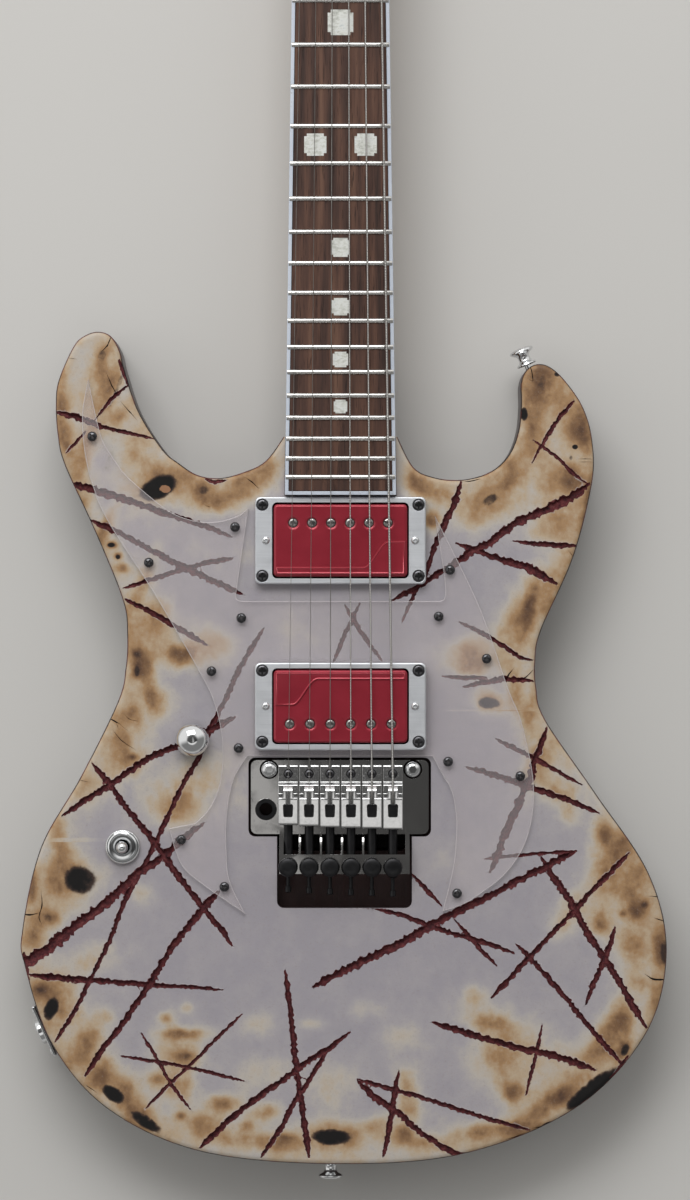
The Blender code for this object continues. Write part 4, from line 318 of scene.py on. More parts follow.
# Scorched patches, two of them a painted shadow line along the guard's left edge: picture point,
# half sizes in pixels, tilt in degrees, amount
SCORCH_AND_SHADOW_PX = [
    (102, 362, 10, 20, 20, 0.55), (110, 388, 10, 24, 20, 0.62), (120, 416, 9, 16, 25, 0.55),
    (62, 400, 7, 42, 0, 0.5), (68, 445, 8, 28, -15, 0.5), (80, 505, 9, 30, 25, 0.4),
    # On the next row, the second and third patches are painted shadow: a brown line along the
    # guard's left edge.
    (95, 405, 22, 40, 10, 0.34), (84, 455, 8, 34, 15, 0.5), (104, 530, 7, 34, 25, 0.46),
    (136, 446, 16, 34, 35, 0.36), (152, 468, 16, 18, 30, 0.42), (162, 487, 38, 22, -25, 0.5),
    (203, 490, 11, 10, 0, 0.72), (213, 503, 16, 9, 10, 0.62), (232, 498, 26, 12, -15, 0.5),
    (250, 478, 22, 14, -25, 0.5), (268, 470, 14, 18, 0, 0.45), (185, 472, 30, 10, -35, 0.32),
    (112, 545, 6, 4, 0, 0.9), (118, 556, 4, 4, 0, 0.8), (122, 568, 8, 6, 0, 0.6),
    (140, 590, 9, 44, 22, 0.5), (156, 612, 14, 18, 30, 0.46), (150, 640, 28, 26, 0, 0.36),
    (184, 656, 13, 8, -45, 0.85), (175, 652, 10, 8, 0, 0.62), (147, 678, 9, 34, -8, 0.66),
    (137, 671, 6, 10, 0, 0.92), (137, 654, 4, 4, 0, 0.8), (160, 702, 14, 15, 0, 0.5),
    (136, 715, 8, 18, -15, 0.5), (210, 650, 30, 20, -20, 0.42), (120, 738, 16, 24, 0, 0.45),
    (128, 762, 22, 18, 0, 0.46), (190, 782, 44, 26, -25, 0.42), (178, 812, 28, 16, 0, 0.42),
    (133, 757, 4, 3, 0, 0.85), (120, 715, 20, 10, 0, 0.3), (95, 790, 20, 16, 0, 0.26),
    (62, 846, 10, 30, -15, 0.46), (58, 880, 14, 26, 0, 0.45), (78, 880, 26, 22, 10, 0.55),
    (48, 918, 12, 10, 0, 0.66), (32, 886, 5, 16, 5, 0.6), (36, 930, 14, 26, 5, 0.55),
    (48, 990, 20, 14, 0, 0.52), (40, 990, 7, 7, 0, 0.85), (95, 958, 34, 16, -15, 0.26),
    (142, 893, 14, 12, 0, 0.26), (60, 1010, 20, 30, 10, 0.56), (86, 1046, 16, 26, 35, 0.6),
    (100, 1076, 16, 20, 30, 0.62), (124, 1092, 20, 14, 30, 0.6), (142, 1118, 26, 12, 35, 0.6),
    (183, 1034, 15, 6, 0, 0.74), (183, 1034, 28, 6, 0, 0.36), (185, 1056, 11, 8, 0, 0.66),
    (176, 1056, 24, 28, 0, 0.36), (165, 1018, 8, 6, 0, 0.5), (187, 1008, 7, 6, 0, 0.34),
    (156, 1079, 12, 8, 0, 0.56), (180, 1088, 16, 20, 0, 0.42), (223, 1104, 18, 9, 5, 0.62),
    (206, 1122, 20, 12, 0, 0.46), (266, 1112, 18, 9, -10, 0.46), (246, 1127, 9, 6, 0, 0.6),
    (256, 1141, 60, 10, 5, 0.5), (287, 1138, 9, 6, 0, 0.7), (331, 1136, 34, 15, 5, 0.6),
    (180, 1116, 6, 5, 0, 0.56), (104, 1018, 14, 9, 0, 0.28), (258, 1025, 16, 14, 0, 0.3),
    (310, 1024, 12, 6, 0, 0.28), (262, 1070, 30, 20, 0, 0.24), (330, 1085, 30, 26, 0, 0.24),
    (492, 1022, 24, 10, 8, 0.58), (500, 1050, 26, 30, 15, 0.5), (513, 1092, 12, 11, 0, 0.7),
    (535, 1066, 50, 34, 0, 0.32), (556, 1100, 52, 13, -36, 0.62), (557, 1099, 9, 7, 0, 0.8),
    (606, 1040, 30, 13, -45, 0.56), (616, 1026, 14, 28, 20, 0.62), (624, 1048, 6, 12, 25, 0.85),
    (494, 1130, 46, 9, -6, 0.55), (406, 1084, 13, 16, 0, 0.45), (408, 1108, 16, 18, 0, 0.44),
    (405, 1131, 9, 7, 0, 0.58), (374, 1126, 14, 10, 0, 0.42), (420, 1142, 44, 8, 8, 0.4),
    (475, 995, 15, 12, 0, 0.3), (400, 1036, 22, 14, 0, 0.2), (372, 1010, 20, 10, 0, 0.18),
    (655, 1000, 8, 22, 20, 0.5), (531, 712, 8, 26, 12, 0.5), (540, 760, 15, 34, 20, 0.48),
    (560, 792, 20, 12, 30, 0.5), (568, 812, 10, 14, 0, 0.34), (604, 834, 10, 12, 0, 0.66),
    (622, 850, 15, 22, 25, 0.66), (602, 862, 14, 26, 0, 0.46), (612, 886, 24, 20, 0, 0.42),
    (640, 880, 15, 40, 18, 0.4), (601, 922, 11, 13, 10, 0.74), (636, 912, 10, 11, 0, 0.68),
    (623, 914, 4, 4, 0, 0.8), (645, 905, 4, 4, 0, 0.8), (634, 946, 17, 28, 0, 0.56),
    (661, 948, 8, 22, 0, 0.82), (574, 908, 18, 18, 0, 0.34), (562, 930, 16, 14, 0, 0.26),
    (640, 985, 16, 10, 0, 0.36), (418, 485, 16, 13, 40, 0.62), (432, 520, 9, 10, 0, 0.7),
    (442, 496, 14, 10, 20, 0.42), (485, 506, 34, 20, -25, 0.56), (512, 480, 18, 9, -30, 0.58),
    (572, 477, 13, 15, 0, 0.6), (548, 484, 40, 22, 0, 0.32), (589, 506, 6, 26, 5, 0.62),
    (562, 530, 32, 14, -8, 0.42), (560, 512, 30, 14, 0, 0.34), (529, 612, 7, 30, 14, 0.75),
    (522, 612, 20, 38, 14, 0.34), (550, 590, 10, 24, 20, 0.4), (468, 654, 26, 16, 0, 0.6),
    (470, 668, 16, 10, 0, 0.5), (489, 702, 17, 11, 8, 0.6), (516, 690, 9, 30, -14, 0.42),
    (510, 640, 14, 24, 0, 0.26), (542, 386, 9, 26, 6, 0.76), (545, 366, 15, 16, 0, 0.55),
    (527, 396, 8, 34, -6, 0.5), (535, 432, 14, 30, 12, 0.42), (575, 424, 14, 26, -12, 0.5),
    (584, 436, 7, 24, -8, 0.66), (560, 400, 16, 30, -20, 0.32), (505, 462, 18, 13, -35, 0.4),
    (552, 452, 26, 26, 0, 0.26), (570, 560, 12, 22, 25, 0.3), (300, 630, 36, 26, 0, 0.12),
    (225, 560, 50, 26, 0, 0.12), (450, 860, 40, 26, 0, 0.1), (250, 790, 26, 30, 0, 0.12),
]

# Burns, in the same form, that are charred black at 1
BURNS_PX = [
    (158, 488, 20, 11, -25, 1.0), (80, 880, 17, 14, 10, 0.86), (48, 918, 5, 5, 0, 0.5),
    (51, 1009, 7, 12, 20, 0.95), (113, 1094, 13, 7, 35, 0.98), (146, 1122, 19, 6, 32, 0.9),
    (331, 1137, 20, 8, 3, 0.95), (186, 1056, 6, 4, 0, 0.4), (287, 1138, 4, 3, 0, 0.4),
    (592, 1089, 32, 8, -38, 1.0), (625, 1050, 4, 7, 25, 0.7), (489, 703, 12, 6, 6, 0.75),
    (490, 500, 9, 6, -30, 0.6), (204, 490, 6, 5, 0, 0.55), (542, 384, 5, 12, 6, 0.5),
    (524, 414, 4, 7, 0, 0.9), (137, 671, 3, 6, 0, 0.7), (111, 545, 4, 2.5, 0, 0.9),
    (184, 657, 5, 4, -45, 0.4), (664, 952, 4, 14, 0, 0.6), (557, 374, 3, 3, 0, 0.8),
    (575, 447, 3, 2.5, 0, 0.9), (571, 458, 2, 3, 0, 0.6), (40, 990, 4, 4, 0, 0.5),
    (118, 557, 2.5, 2.5, 0, 0.8), (108, 462, 11, 14, 20, 0.42), (601, 922, 5, 6, 10, 0.3),
    (117, 389, 3, 22, 22, 0.5), (102, 356, 5, 7, 20, 0.5), (548, 1125, 7, 3, -20, 0.8),
]
WARM_CHIP_PX = (165, 489, 6, 4, 10, 1.0)


# Points and outlines

def millimetres(points):
    """Scale points written in millimetres to metres."""
    return [Vector((x * MM, y * MM)) for x, y in points]


def mm(*rows):
    """Tuples of numbers written in millimetres, as metres."""
    return [tuple(value * MM for value in row) for row in rows]


def level_direction(degrees):
    """Direction in plan at an angle from the body's right."""
    turn = math.radians(degrees)
    return Vector((math.cos(turn), math.sin(turn), 0))


def photo_point(px, py):
    """Place in plan of a picture point."""
    return Vector(((px - CENTRE_LINE_PX) * PIXEL, (SADDLE_LINE_PX - py) * PIXEL))


def smooth_run(points, step):
    """Sample a smooth curve through the points, about one sample for each step of length."""
    ends = [points[0]] + list(points) + [points[-1]]
    run = []
    for a, b, c, d in zip(ends, ends[1:], ends[2:], ends[3:]):
        a, b, c, d = Vector(a), Vector(b), Vector(c), Vector(d)
        samples = max(1, round((c - b).length / step))
        for index in range(samples):
            t = index / samples
            run.append(0.5 * (2 * b + (c - a) * t + (2 * a - 5 * b + 4 * c - d) * t ** 2
                              + (3 * b - a - 3 * c + d) * t ** 3))
    run.append(Vector(points[-1]))
    return run


def circle(x, y, radius, sides, start=0.0):
    """Points of a circle in plan."""
    turns = [start + 2 * math.pi * index / sides for index in range(sides)]
    return [(x + radius * math.cos(turn), y + radius * math.sin(turn)) for turn in turns]


def rounded(x0, y0, x1, y1, radius, steps=6):
    """Points of a rectangle with round corners."""
    corners = [(x1 - radius, y1 - radius, 0), (x0 + radius, y1 - radius, 90),
               (x0 + radius, y0 + radius, 180), (x1 - radius, y0 + radius, 270)]
    points = []
    for cx, cy, start in corners:
        for index in range(steps + 1):
            turn = math.radians(start + 90 * index / steps)
            points.append((cx + radius * math.cos(turn), cy + radius * math.sin(turn)))
    return points


def centred(length, width, y, radius):
    """Rounded rectangle on the centre line, about a place along it."""
    return rounded(-length / 2, y - width / 2, length / 2, y + width / 2, radius)


def offset(outline, distance):
    """Move a closed counter-clockwise outline outwards by a distance."""
    moved = []
    count = len(outline)
    for index, point in enumerate(outline):
        before = Vector(outline[index - 1]).to_2d()
        after = Vector(outline[(index + 1) % count]).to_2d()
        here = Vector(point).to_2d()
        along = ((here - before).normalized() + (after - here).normalized()).normalized()
        leaving = (after - here).normalized()
        stretch = min(2.0, 1 / max(0.5, along.dot(leaving)))
        moved.append(here + Vector((along.y, -along.x)) * distance * stretch)
    return moved


def string_x(number, pitch):
    """Sideways place of a string, the thinnest being number 1 at the left."""
    return (number - 3.5) * pitch


def crown(x):
    """Drop of the strings and the fretboard at a distance from the centre line."""
    return x ** 2 / (2 * BOARD_CURVE)


# Solids

def stack(rings, closed=True):
    """Solid through rings of equally many points, with flat ends."""
    shape = bmesh.new()
    loops = [[shape.verts.new(point) for point in ring] for ring in rings]
    count = len(loops[0])
    for lower, upper in zip(loops, loops[1:]):
        for index in range(count):
            after = (index + 1) % count
            shape.faces.new((lower[index], lower[after], upper[after], upper[index]))
    if closed:
        shape.faces.new(loops[0][::-1])
        shape.faces.new(loops[-1])
    bmesh.ops.recalc_face_normals(shape, faces=shape.faces)
    return shape


def ring(outline, z):
    """A plan outline lifted to a height."""
    return [(point[0], point[1], z) for point in outline]


def prism(outline, low, high):
    """Upright solid on a plan outline."""
    return stack([ring(outline, low), ring(outline, high)])


def round_prism(outline, low, high, radius, steps=4):
    """Upright solid whose top edge is rounded."""
    rings = [ring(outline, low)]
    for index in range(steps + 1):
        turn = 0.5 * math.pi * index / steps
        inset = radius * (1 - math.cos(turn))
        rings.append(ring(offset(outline, -inset), high - radius * (1 - math.sin(turn))))
    return stack(rings)


def box(x0, y0, z0, x1, y1, z1):
    """Block between two corners."""
    return prism([(x0, y0), (x1, y0), (x1, y1), (x0, y1)], z0, z1)


def turned(profile, base=(0, 0, 0), axis=(0, 0, 1), sides=40):
    """Solid of revolution: pairs of radius and height along an axis from a base point."""
    turn = Vector(axis).to_track_quat("Z", "Y")
    rings = []
    for radius, height in profile:
        loop = circle(0, 0, radius, sides)
        rings.append([Vector(base) + turn @ Vector((x, y, height)) for x, y in loop])
    return stack(rings)


def side_prism(profile, x0, x1):
    """Solid with a profile of y and z pairs, drawn out sideways."""
    return stack([[(x0, y, z) for y, z in profile], [(x1, y, z) for y, z in profile]])


def dome(radius, height, steps=5, short=0.4, base=0.0):
    """Profile pairs of a shallow dome that stops short of its axis by a part of a step."""
    turns = [0.5 * math.pi * index / (steps + short) for index in range(steps + 1)]
    return [(radius * math.cos(turn), base + height * math.sin(turn)) for turn in turns]


def ease(shape, width, segments=2, angle=30):
    """Round a solid's sharp edges by a width."""
    limit = math.radians(angle)
    edges = [edge for edge in shape.edges
             if len(edge.link_faces) == 2 and edge.calc_face_angle(0) > limit]
    bmesh.ops.bevel(shape, geom=edges, offset=width, segments=segments, profile=0.5,
                    affect="EDGES", clamp_overlap=True)
    return shape


def loose(shape, name="tool"):
    """A plain object from a solid."""
    mesh = bpy.data.meshes.new(name)
    shape.to_mesh(mesh)
    shape.free()
    thing = bpy.data.objects.new(name, mesh)
    bpy.context.scene.collection.objects.link(thing)
    return thing


def carve(shape, tools, operation="DIFFERENCE"):
    """Cut solids out of a solid, or join them to it."""
    blank = loose(shape)
    helpers = [loose(tool) for tool in tools]
    for helper in helpers:
        step = blank.modifiers.new("step", "BOOLEAN")
        step.operation = operation
        step.solver = "EXACT"
        step.object = helper
    bpy.context.view_layer.update()
    finished = blank.evaluated_get(bpy.context.evaluated_depsgraph_get()).to_mesh()
    result = bmesh.new()
    result.from_mesh(finished)
    for helper in [blank] + helpers:
        bpy.data.objects.remove(helper)
    return result


def pattern_of(shape):
    """A solid as bare mesh data."""
    pattern = bpy.data.meshes.new("pattern")
    shape.to_mesh(pattern)
    shape.free()
    return pattern


def merged(*shapes):
    """Several solids as one piece, each staying a body of its own."""
    many = bmesh.new()
    for shape in shapes:
        pattern = pattern_of(shape)
        many.from_mesh(pattern)
        bpy.data.meshes.remove(pattern)
    return many


def repeated(shape, places):
    """One solid at several places, each a point or a placing matrix."""
    pattern = pattern_of(shape)
    many = bmesh.new()
    for spot in places:
        matrix = spot if isinstance(spot, Matrix) else Matrix.Translation(spot)
        start = len(many.verts)
        many.from_mesh(pattern)
        many.verts.ensure_lookup_table()
        bmesh.ops.transform(many, matrix=matrix, verts=many.verts[start:])
    bpy.data.meshes.remove(pattern)
    return many


def facing(point, axis, spin=0.0):
    """Placing that turns a solid's upward direction to an axis."""
    turn = Vector(axis).to_track_quat("Z", "Y").to_matrix().to_4x4()
    return Matrix.Translation(point) @ turn @ Matrix.Rotation(spin, 4, "Z")


def cad_shape(node):
    """A CAD solid as an editable solid with its flat faces whole again."""
    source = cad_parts[node].data
    shape = bmesh.new()
    corners = [shape.verts.new(vertex.co) for vertex in source.vertices]
    for polygon in source.polygons:
        shape.faces.new([corners[index] for index in polygon.vertices])
    bmesh.ops.remove_doubles(shape, verts=shape.verts, dist=0.002 * MM)
    bmesh.ops.dissolve_limit(shape, angle_limit=math.radians(0.4), verts=shape.verts,
                             edges=shape.edges)
    bmesh.ops.recalc_face_normals(shape, faces=shape.faces)
    return shape


def show(name, shape, finishes, body="guitar", stands_for=(), smooth=35,
         flat_faces=True):
    """Make a piece of the guitar, give it its finish or finishes and let it move with a body."""
    piece = loose(shape, name)
    for finish in finishes if isinstance(finishes, list) else [finishes]:
        piece.data.materials.append(FINISHES[finish])
    piece.data.shade_smooth()
    piece.data.set_sharp_from_angle(angle=math.radians(smooth))
    if flat_faces:
        level = piece.modifiers.new("flat faces stay flat", "WEIGHTED_NORMAL")
        level.keep_sharp = True
        level.weight = 100
    if body:
        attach(piece, body)
    if stands_for:
        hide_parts(*stands_for)
    return piece


# Shader writing

class Wire:
    """A shader value that Python sums and products can be written on."""

    def __init__(self, tree, socket):
        self.tree = tree
        self.socket = socket

    def math(self, operation, *values):
        """One sum on shader values or numbers."""
        return self.tree.node("ShaderNodeMath", {"operation": operation}, dict(enumerate(values)))

    def __add__(self, other):
        return self.math("ADD", self, other)

    __radd__ = __add__

    def __sub__(self, other):
        return self.math("SUBTRACT", self, other)

    def __rsub__(self, other):
        return self.math("SUBTRACT", other, self)

    def __mul__(self, other):
        return self.math("MULTIPLY", self, other)

    __rmul__ = __mul__

    def top(self, other):
        """The larger of two values."""
        return self.math("MAXIMUM", self, other)

    def step(self, low, high):
        """Smooth rise from 0 to 1 between two values."""
        inputs = {"Value": self, "From Min": low, "From Max": high}
        return self.tree.node("ShaderNodeMapRange", {"interpolation_type": "SMOOTHSTEP"}, inputs)


class Tree:
    """A shader tree whose nodes are written as expressions."""

    def __init__(self, tree):
        self.tree = tree

    def node(self, kind, settings=None, inputs=None, output=0):
        """Add a node: its settings first, then the values or links of its sockets."""
        made = self.tree.nodes.new(kind)
        for name, value in (settings or {}).items():
            if name == "stops":
                set_stops(made.color_ramp, value)
            else:
                setattr(made, name, value)
        for key, value in (inputs or {}).items():
            if isinstance(value, Wire):
                self.tree.links.new(value.socket, made.inputs[key])
            else:
                made.inputs[key].default_value = value
        return Wire(self, made.outputs[output])


def set_stops(ramp, stops):
    """Set the stops of a colour ramp."""
    while len(ramp.elements) < len(stops):
        ramp.elements.new(0.5)
    for element, (position, colour) in zip(ramp.elements, stops):
        element.position = position
        element.color = (*colour, 1)


class Coat(Tree):
    """A material with a plain surface shader, and what feeds it."""

    def __init__(self, name, constants=None):
        self.material = bpy.data.materials.new(name)
        self.material.use_nodes = True
        super().__init__(self.material.node_tree)
        self.shader = self.tree.nodes["Principled BSDF"]
        for key, value in (constants or {}).items():
            self.shader.inputs[key].default_value = value
        self.place = self.node("ShaderNodeTexCoord", output="Object")

    def noise(self, scale, detail=3.0, stretch=(1, 1, 1), rough=0.55):
        """Cloudy value about 0 to 1, with a number of features in a metre."""
        place = self.place
        if stretch != (1, 1, 1):
            place = self.node("ShaderNodeVectorMath", {"operation": "MULTIPLY"},
                              {0: place, 1: stretch})
        return self.node("ShaderNodeTexNoise", None,
                         {"Vector": place, "Scale": scale, "Detail": detail, "Roughness": rough})

    def attribute(self, name):
        """A value stored on the mesh."""
        return self.node("ShaderNodeAttribute", {"attribute_name": name}, output="Fac")

    def ramp(self, value, stops):
        """Colour by value."""
        return self.node("ShaderNodeValToRGB", {"stops": stops}, {0: value})

    def mix(self, share, first, second):
        """Colour between two colours."""
        colours = [(*colour, 1) if isinstance(colour, tuple) else colour
                   for colour in (first, second)]
        return self.node("ShaderNodeMix", {"data_type": "RGBA"},
                         {0: share, 6: colours[0], 7: colours[1]}, output=2)

    def feed(self, socket, value):
        """Link a varying value to the shader."""
        self.tree.links.new(value.socket, self.shader.inputs[socket])

    def relief(self, height, depth, strength=1.0):
        """Raise the surface by a height value, over a depth in metres."""
        bump = self.node("ShaderNodeBump", None,
                         {"Height": height, "Distance": depth, "Strength": strength})
        self.feed("Normal", bump)


# Finishes

def scorched_paint():
    """Pale paint, scorched and charred by the values on the mesh, with the guard's shadow painted
    in as a brown line, torn off at the gouges.
    """
    coat = Coat("scorched_paint", {"Specular IOR Level": 0.25})
    cloud = coat.noise(42, 5, rough=0.62)
    drift = coat.noise(95, 4, (1, 0.7, 1), 0.65)
    mottle = coat.noise(190, 5, rough=0.65)
    fibre = coat.noise(1100, 3)
    tear = coat.noise(620, 4, rough=0.7)
    # The scorch values also carry the guard's painted shadow line, which the ramp below turns
    # brown.
    scorch = coat.attribute("scorch")
    heat_and_shadow = (scorch * (0.46 + 0.36 * cloud + 0.34 * drift) + (0.1 + 0.3 * scorch) * (mottle - 0.5)
            + (0.14 + 0.35 * scorch) * (drift - 0.46) + 0.22 * (cloud - 0.46))
    paint = coat.ramp(heat_and_shadow, [
        (0.0, (0.325, 0.305, 0.335)), (0.10, (0.375, 0.350, 0.365)), (0.21, (0.47, 0.43, 0.385)),
        (0.34, (0.46, 0.355, 0.245)), (0.47, (0.36, 0.22, 0.112)), (0.62, (0.20, 0.110, 0.055)),
        (0.80, (0.095, 0.050, 0.030)), (1.0, (0.035, 0.022, 0.018))])
    grimy = coat.mix((fibre.step(0.56, 0.75)) * 0.35, paint, (0.27, 0.225, 0.19))
    char = (coat.attribute("char") + 0.55 * (mottle - 0.5) + 0.4 * (drift - 0.5)).step(0.22, 0.95)
    soot = coat.mix(char.step(0.55, 0.95), (0.045, 0.027, 0.021), (0.007, 0.006, 0.006))
    charred = coat.mix(char.step(0.0, 0.6), grimy, soot)
    flake = (coat.attribute("warm") + 0.9 * (tear - 0.5)).step(0.5, 0.7)
    flaked = coat.mix(flake, charred, (0.30, 0.155, 0.085))
    depth = coat.attribute("gouge") + 1.15 * (tear - 0.5) + 0.5 * (fibre - 0.5)
    torn = depth.step(-0.26, 0.0)
    lip = depth.step(-0.75, -0.25) * (1 - torn)
    lipped = coat.mix(lip * mottle.step(0.45, 0.6) * 0.55, flaked, (0.50, 0.47, 0.48))
    streak = coat.noise(420, 4, rough=0.75)
    wood = coat.ramp(streak, [(0.30, (0.022, 0.006, 0.008)), (0.45, (0.072, 0.015, 0.019)),
                              (0.58, (0.135, 0.029, 0.031)), (0.72, (0.19, 0.070, 0.070))])
    gouged = coat.mix(torn, lipped, wood)
    rim = 1 - (coat.attribute("rim") + 0.35 * (tear - 0.5)).step(0.35, 0.75)
    bare_edge = coat.mix(drift.step(0.46, 0.56), (0.018, 0.011, 0.011), (0.105, 0.026, 0.024))
    coat.feed("Base Color", coat.mix(rim, gouged, bare_edge))
    coat.feed("Roughness", 0.42 + 0.18 * mottle + 0.22 * torn + 0.25 * char)
    coat.relief(fibre * 0.25 + mottle * 0.4 + tear * torn * 1.6 - char * 0.5, 0.25 * MM)
    return coat.material


def mottled(name, constants, cloud, speck, colours, fleck, roughness, depth):
    """Two colours or a ramp of them in clouds, with flecks of another colour.

    cloud and speck are settings of noises, fleck is a range of the specks, its share and its
    colour, roughness is a value with what clouds and specks add, and depth is in millimetres.
    """
    coat = Coat(name, constants)
    cloud = coat.noise(*cloud)
    speck = coat.noise(*speck)
    base = coat.ramp(cloud, colours) if isinstance(colours, list) else coat.mix(cloud, *colours)
    if fleck:
        low, high, share, colour = fleck
        base = coat.mix(speck.step(low, high) * share, base, colour)
    coat.feed("Base Color", base)
    value, by_cloud, by_speck = roughness
    coat.feed("Roughness", value + by_cloud * cloud + by_speck * speck)
    if depth:
        coat.relief(speck, depth * MM)
    return coat.material


def milky_acrylic(name, colour, alpha, roughness):
    """Milky clear sheet, a little scratched."""
    coat = Coat(name, {"Alpha": alpha, "Coat Weight": 0.4, "Coat Roughness": 0.08})
    haze = coat.noise(60, 4)
    scratch = coat.noise(900, 3, (1, 0.08, 1))
    coat.feed("Base Color", coat.mix(haze, colour, tuple(0.86 * c for c in colour)))
    coat.feed("Roughness", roughness + 0.12 * haze + 0.1 * scratch.step(0.6, 0.7))
    coat.relief(scratch.step(0.62, 0.7), 0.03 * MM)
    return coat.material


def plated(name, colour, roughness, dirt=0.35, scale=260, ripple=0.02, smudge=0.16):
    """Polished plating with fingermarks, fine scratches and a little grime."""
    coat = Coat(name, {"Metallic": 1.0})
    smear = coat.noise(scale, 4)
    speck = coat.noise(scale * 6, 3, rough=0.7)
    dull = tuple(0.45 * c for c in colour)
    coat.feed("Base Color", coat.mix(speck.step(0.60, 0.75) * dirt, colour, dull))
    coat.feed("Roughness", roughness + smudge * (smear.step(0.4, 0.8) + 0.7 * speck.step(0.6, 0.7)))
    coat.relief(smear * 0.5 + speck * 0.12, ripple * MM)
    return coat.material


def brushed_aluminium():
    """Cast frame metal, brushed lengthways."""
    coat = Coat("brushed_aluminium", {"Metallic": 1.0})
    brush = coat.noise(1500, 3, (0.03, 1, 1))
    cloud = coat.noise(90, 3)
    coat.feed("Base Color", coat.mix(brush * 0.6 + cloud * 0.4, (0.58, 0.60, 0.63),
                                     (0.80, 0.82, 0.85)))
    coat.feed("Roughness", 0.34 + 0.16 * brush + 0.1 * cloud)
    coat.relief(brush, 0.02 * MM)
    return coat.material


def board_wood():
    """Dark fretboard wood with streaks and open pores along the neck."""
    coat = Coat("board_wood", {"Specular IOR Level": 0.3})
    streak = coat.noise(230, 5, (1, 0.045, 1), 0.6)
    pore = coat.noise(1500, 3, (1, 0.05, 1), 0.6)
    wood = coat.ramp(streak, [(0.28, (0.024, 0.012, 0.009)), (0.45, (0.058, 0.027, 0.019)),
                              (0.58, (0.098, 0.046, 0.030)), (0.75, (0.150, 0.078, 0.050))])
    coat.feed("Base Color", coat.mix(pore.step(0.58, 0.68) * 0.75, wood, (0.014, 0.007, 0.006)))
    coat.feed("Roughness", 0.45 + 0.2 * pore)
    coat.relief(1 - pore.step(0.56, 0.7), 0.08 * MM)
    return coat.material


def pearl():
    """Pearl inlay with drifting milky bands."""
    coat = Coat("pearl", {"Coat Weight": 0.8, "Coat Roughness": 0.06, "Roughness": 0.25})
    drift = coat.noise(160, 2)
    bands = coat.noise(420, 4, (1, 1.8, 1), 0.7)
    colour = coat.ramp(bands * 0.7 + drift * 0.3, [
        (0.3, (0.36, 0.37, 0.34)), (0.45, (0.60, 0.61, 0.56)), (0.55, (0.74, 0.75, 0.72)),
        (0.7, (0.52, 0.56, 0.55))])
    coat.feed("Base Color", colour)
    return coat.material


def wire(name, wound):
    """String wire, with its winding where it has one."""
    coat = Coat(name, {"Metallic": 1.0})
    dull = coat.noise(300, 3)
    dark, light = ((0.27, 0.26, 0.25), (0.42, 0.41, 0.39))
    if not wound:
        dark, light = ((0.20, 0.19, 0.18), (0.36, 0.35, 0.33))
    coat.feed("Base Color", coat.mix(dull, dark, light))
    coat.feed("Roughness", 0.26 + 0.2 * dull)
    if wound:
        turns = coat.node("ShaderNodeTexWave", {"bands_direction": "Y"},
                          {"Vector": coat.place, "Scale": 380.0, "Distortion": 0.0})
        coat.relief(turns, 0.12 * MM)
    return coat.material


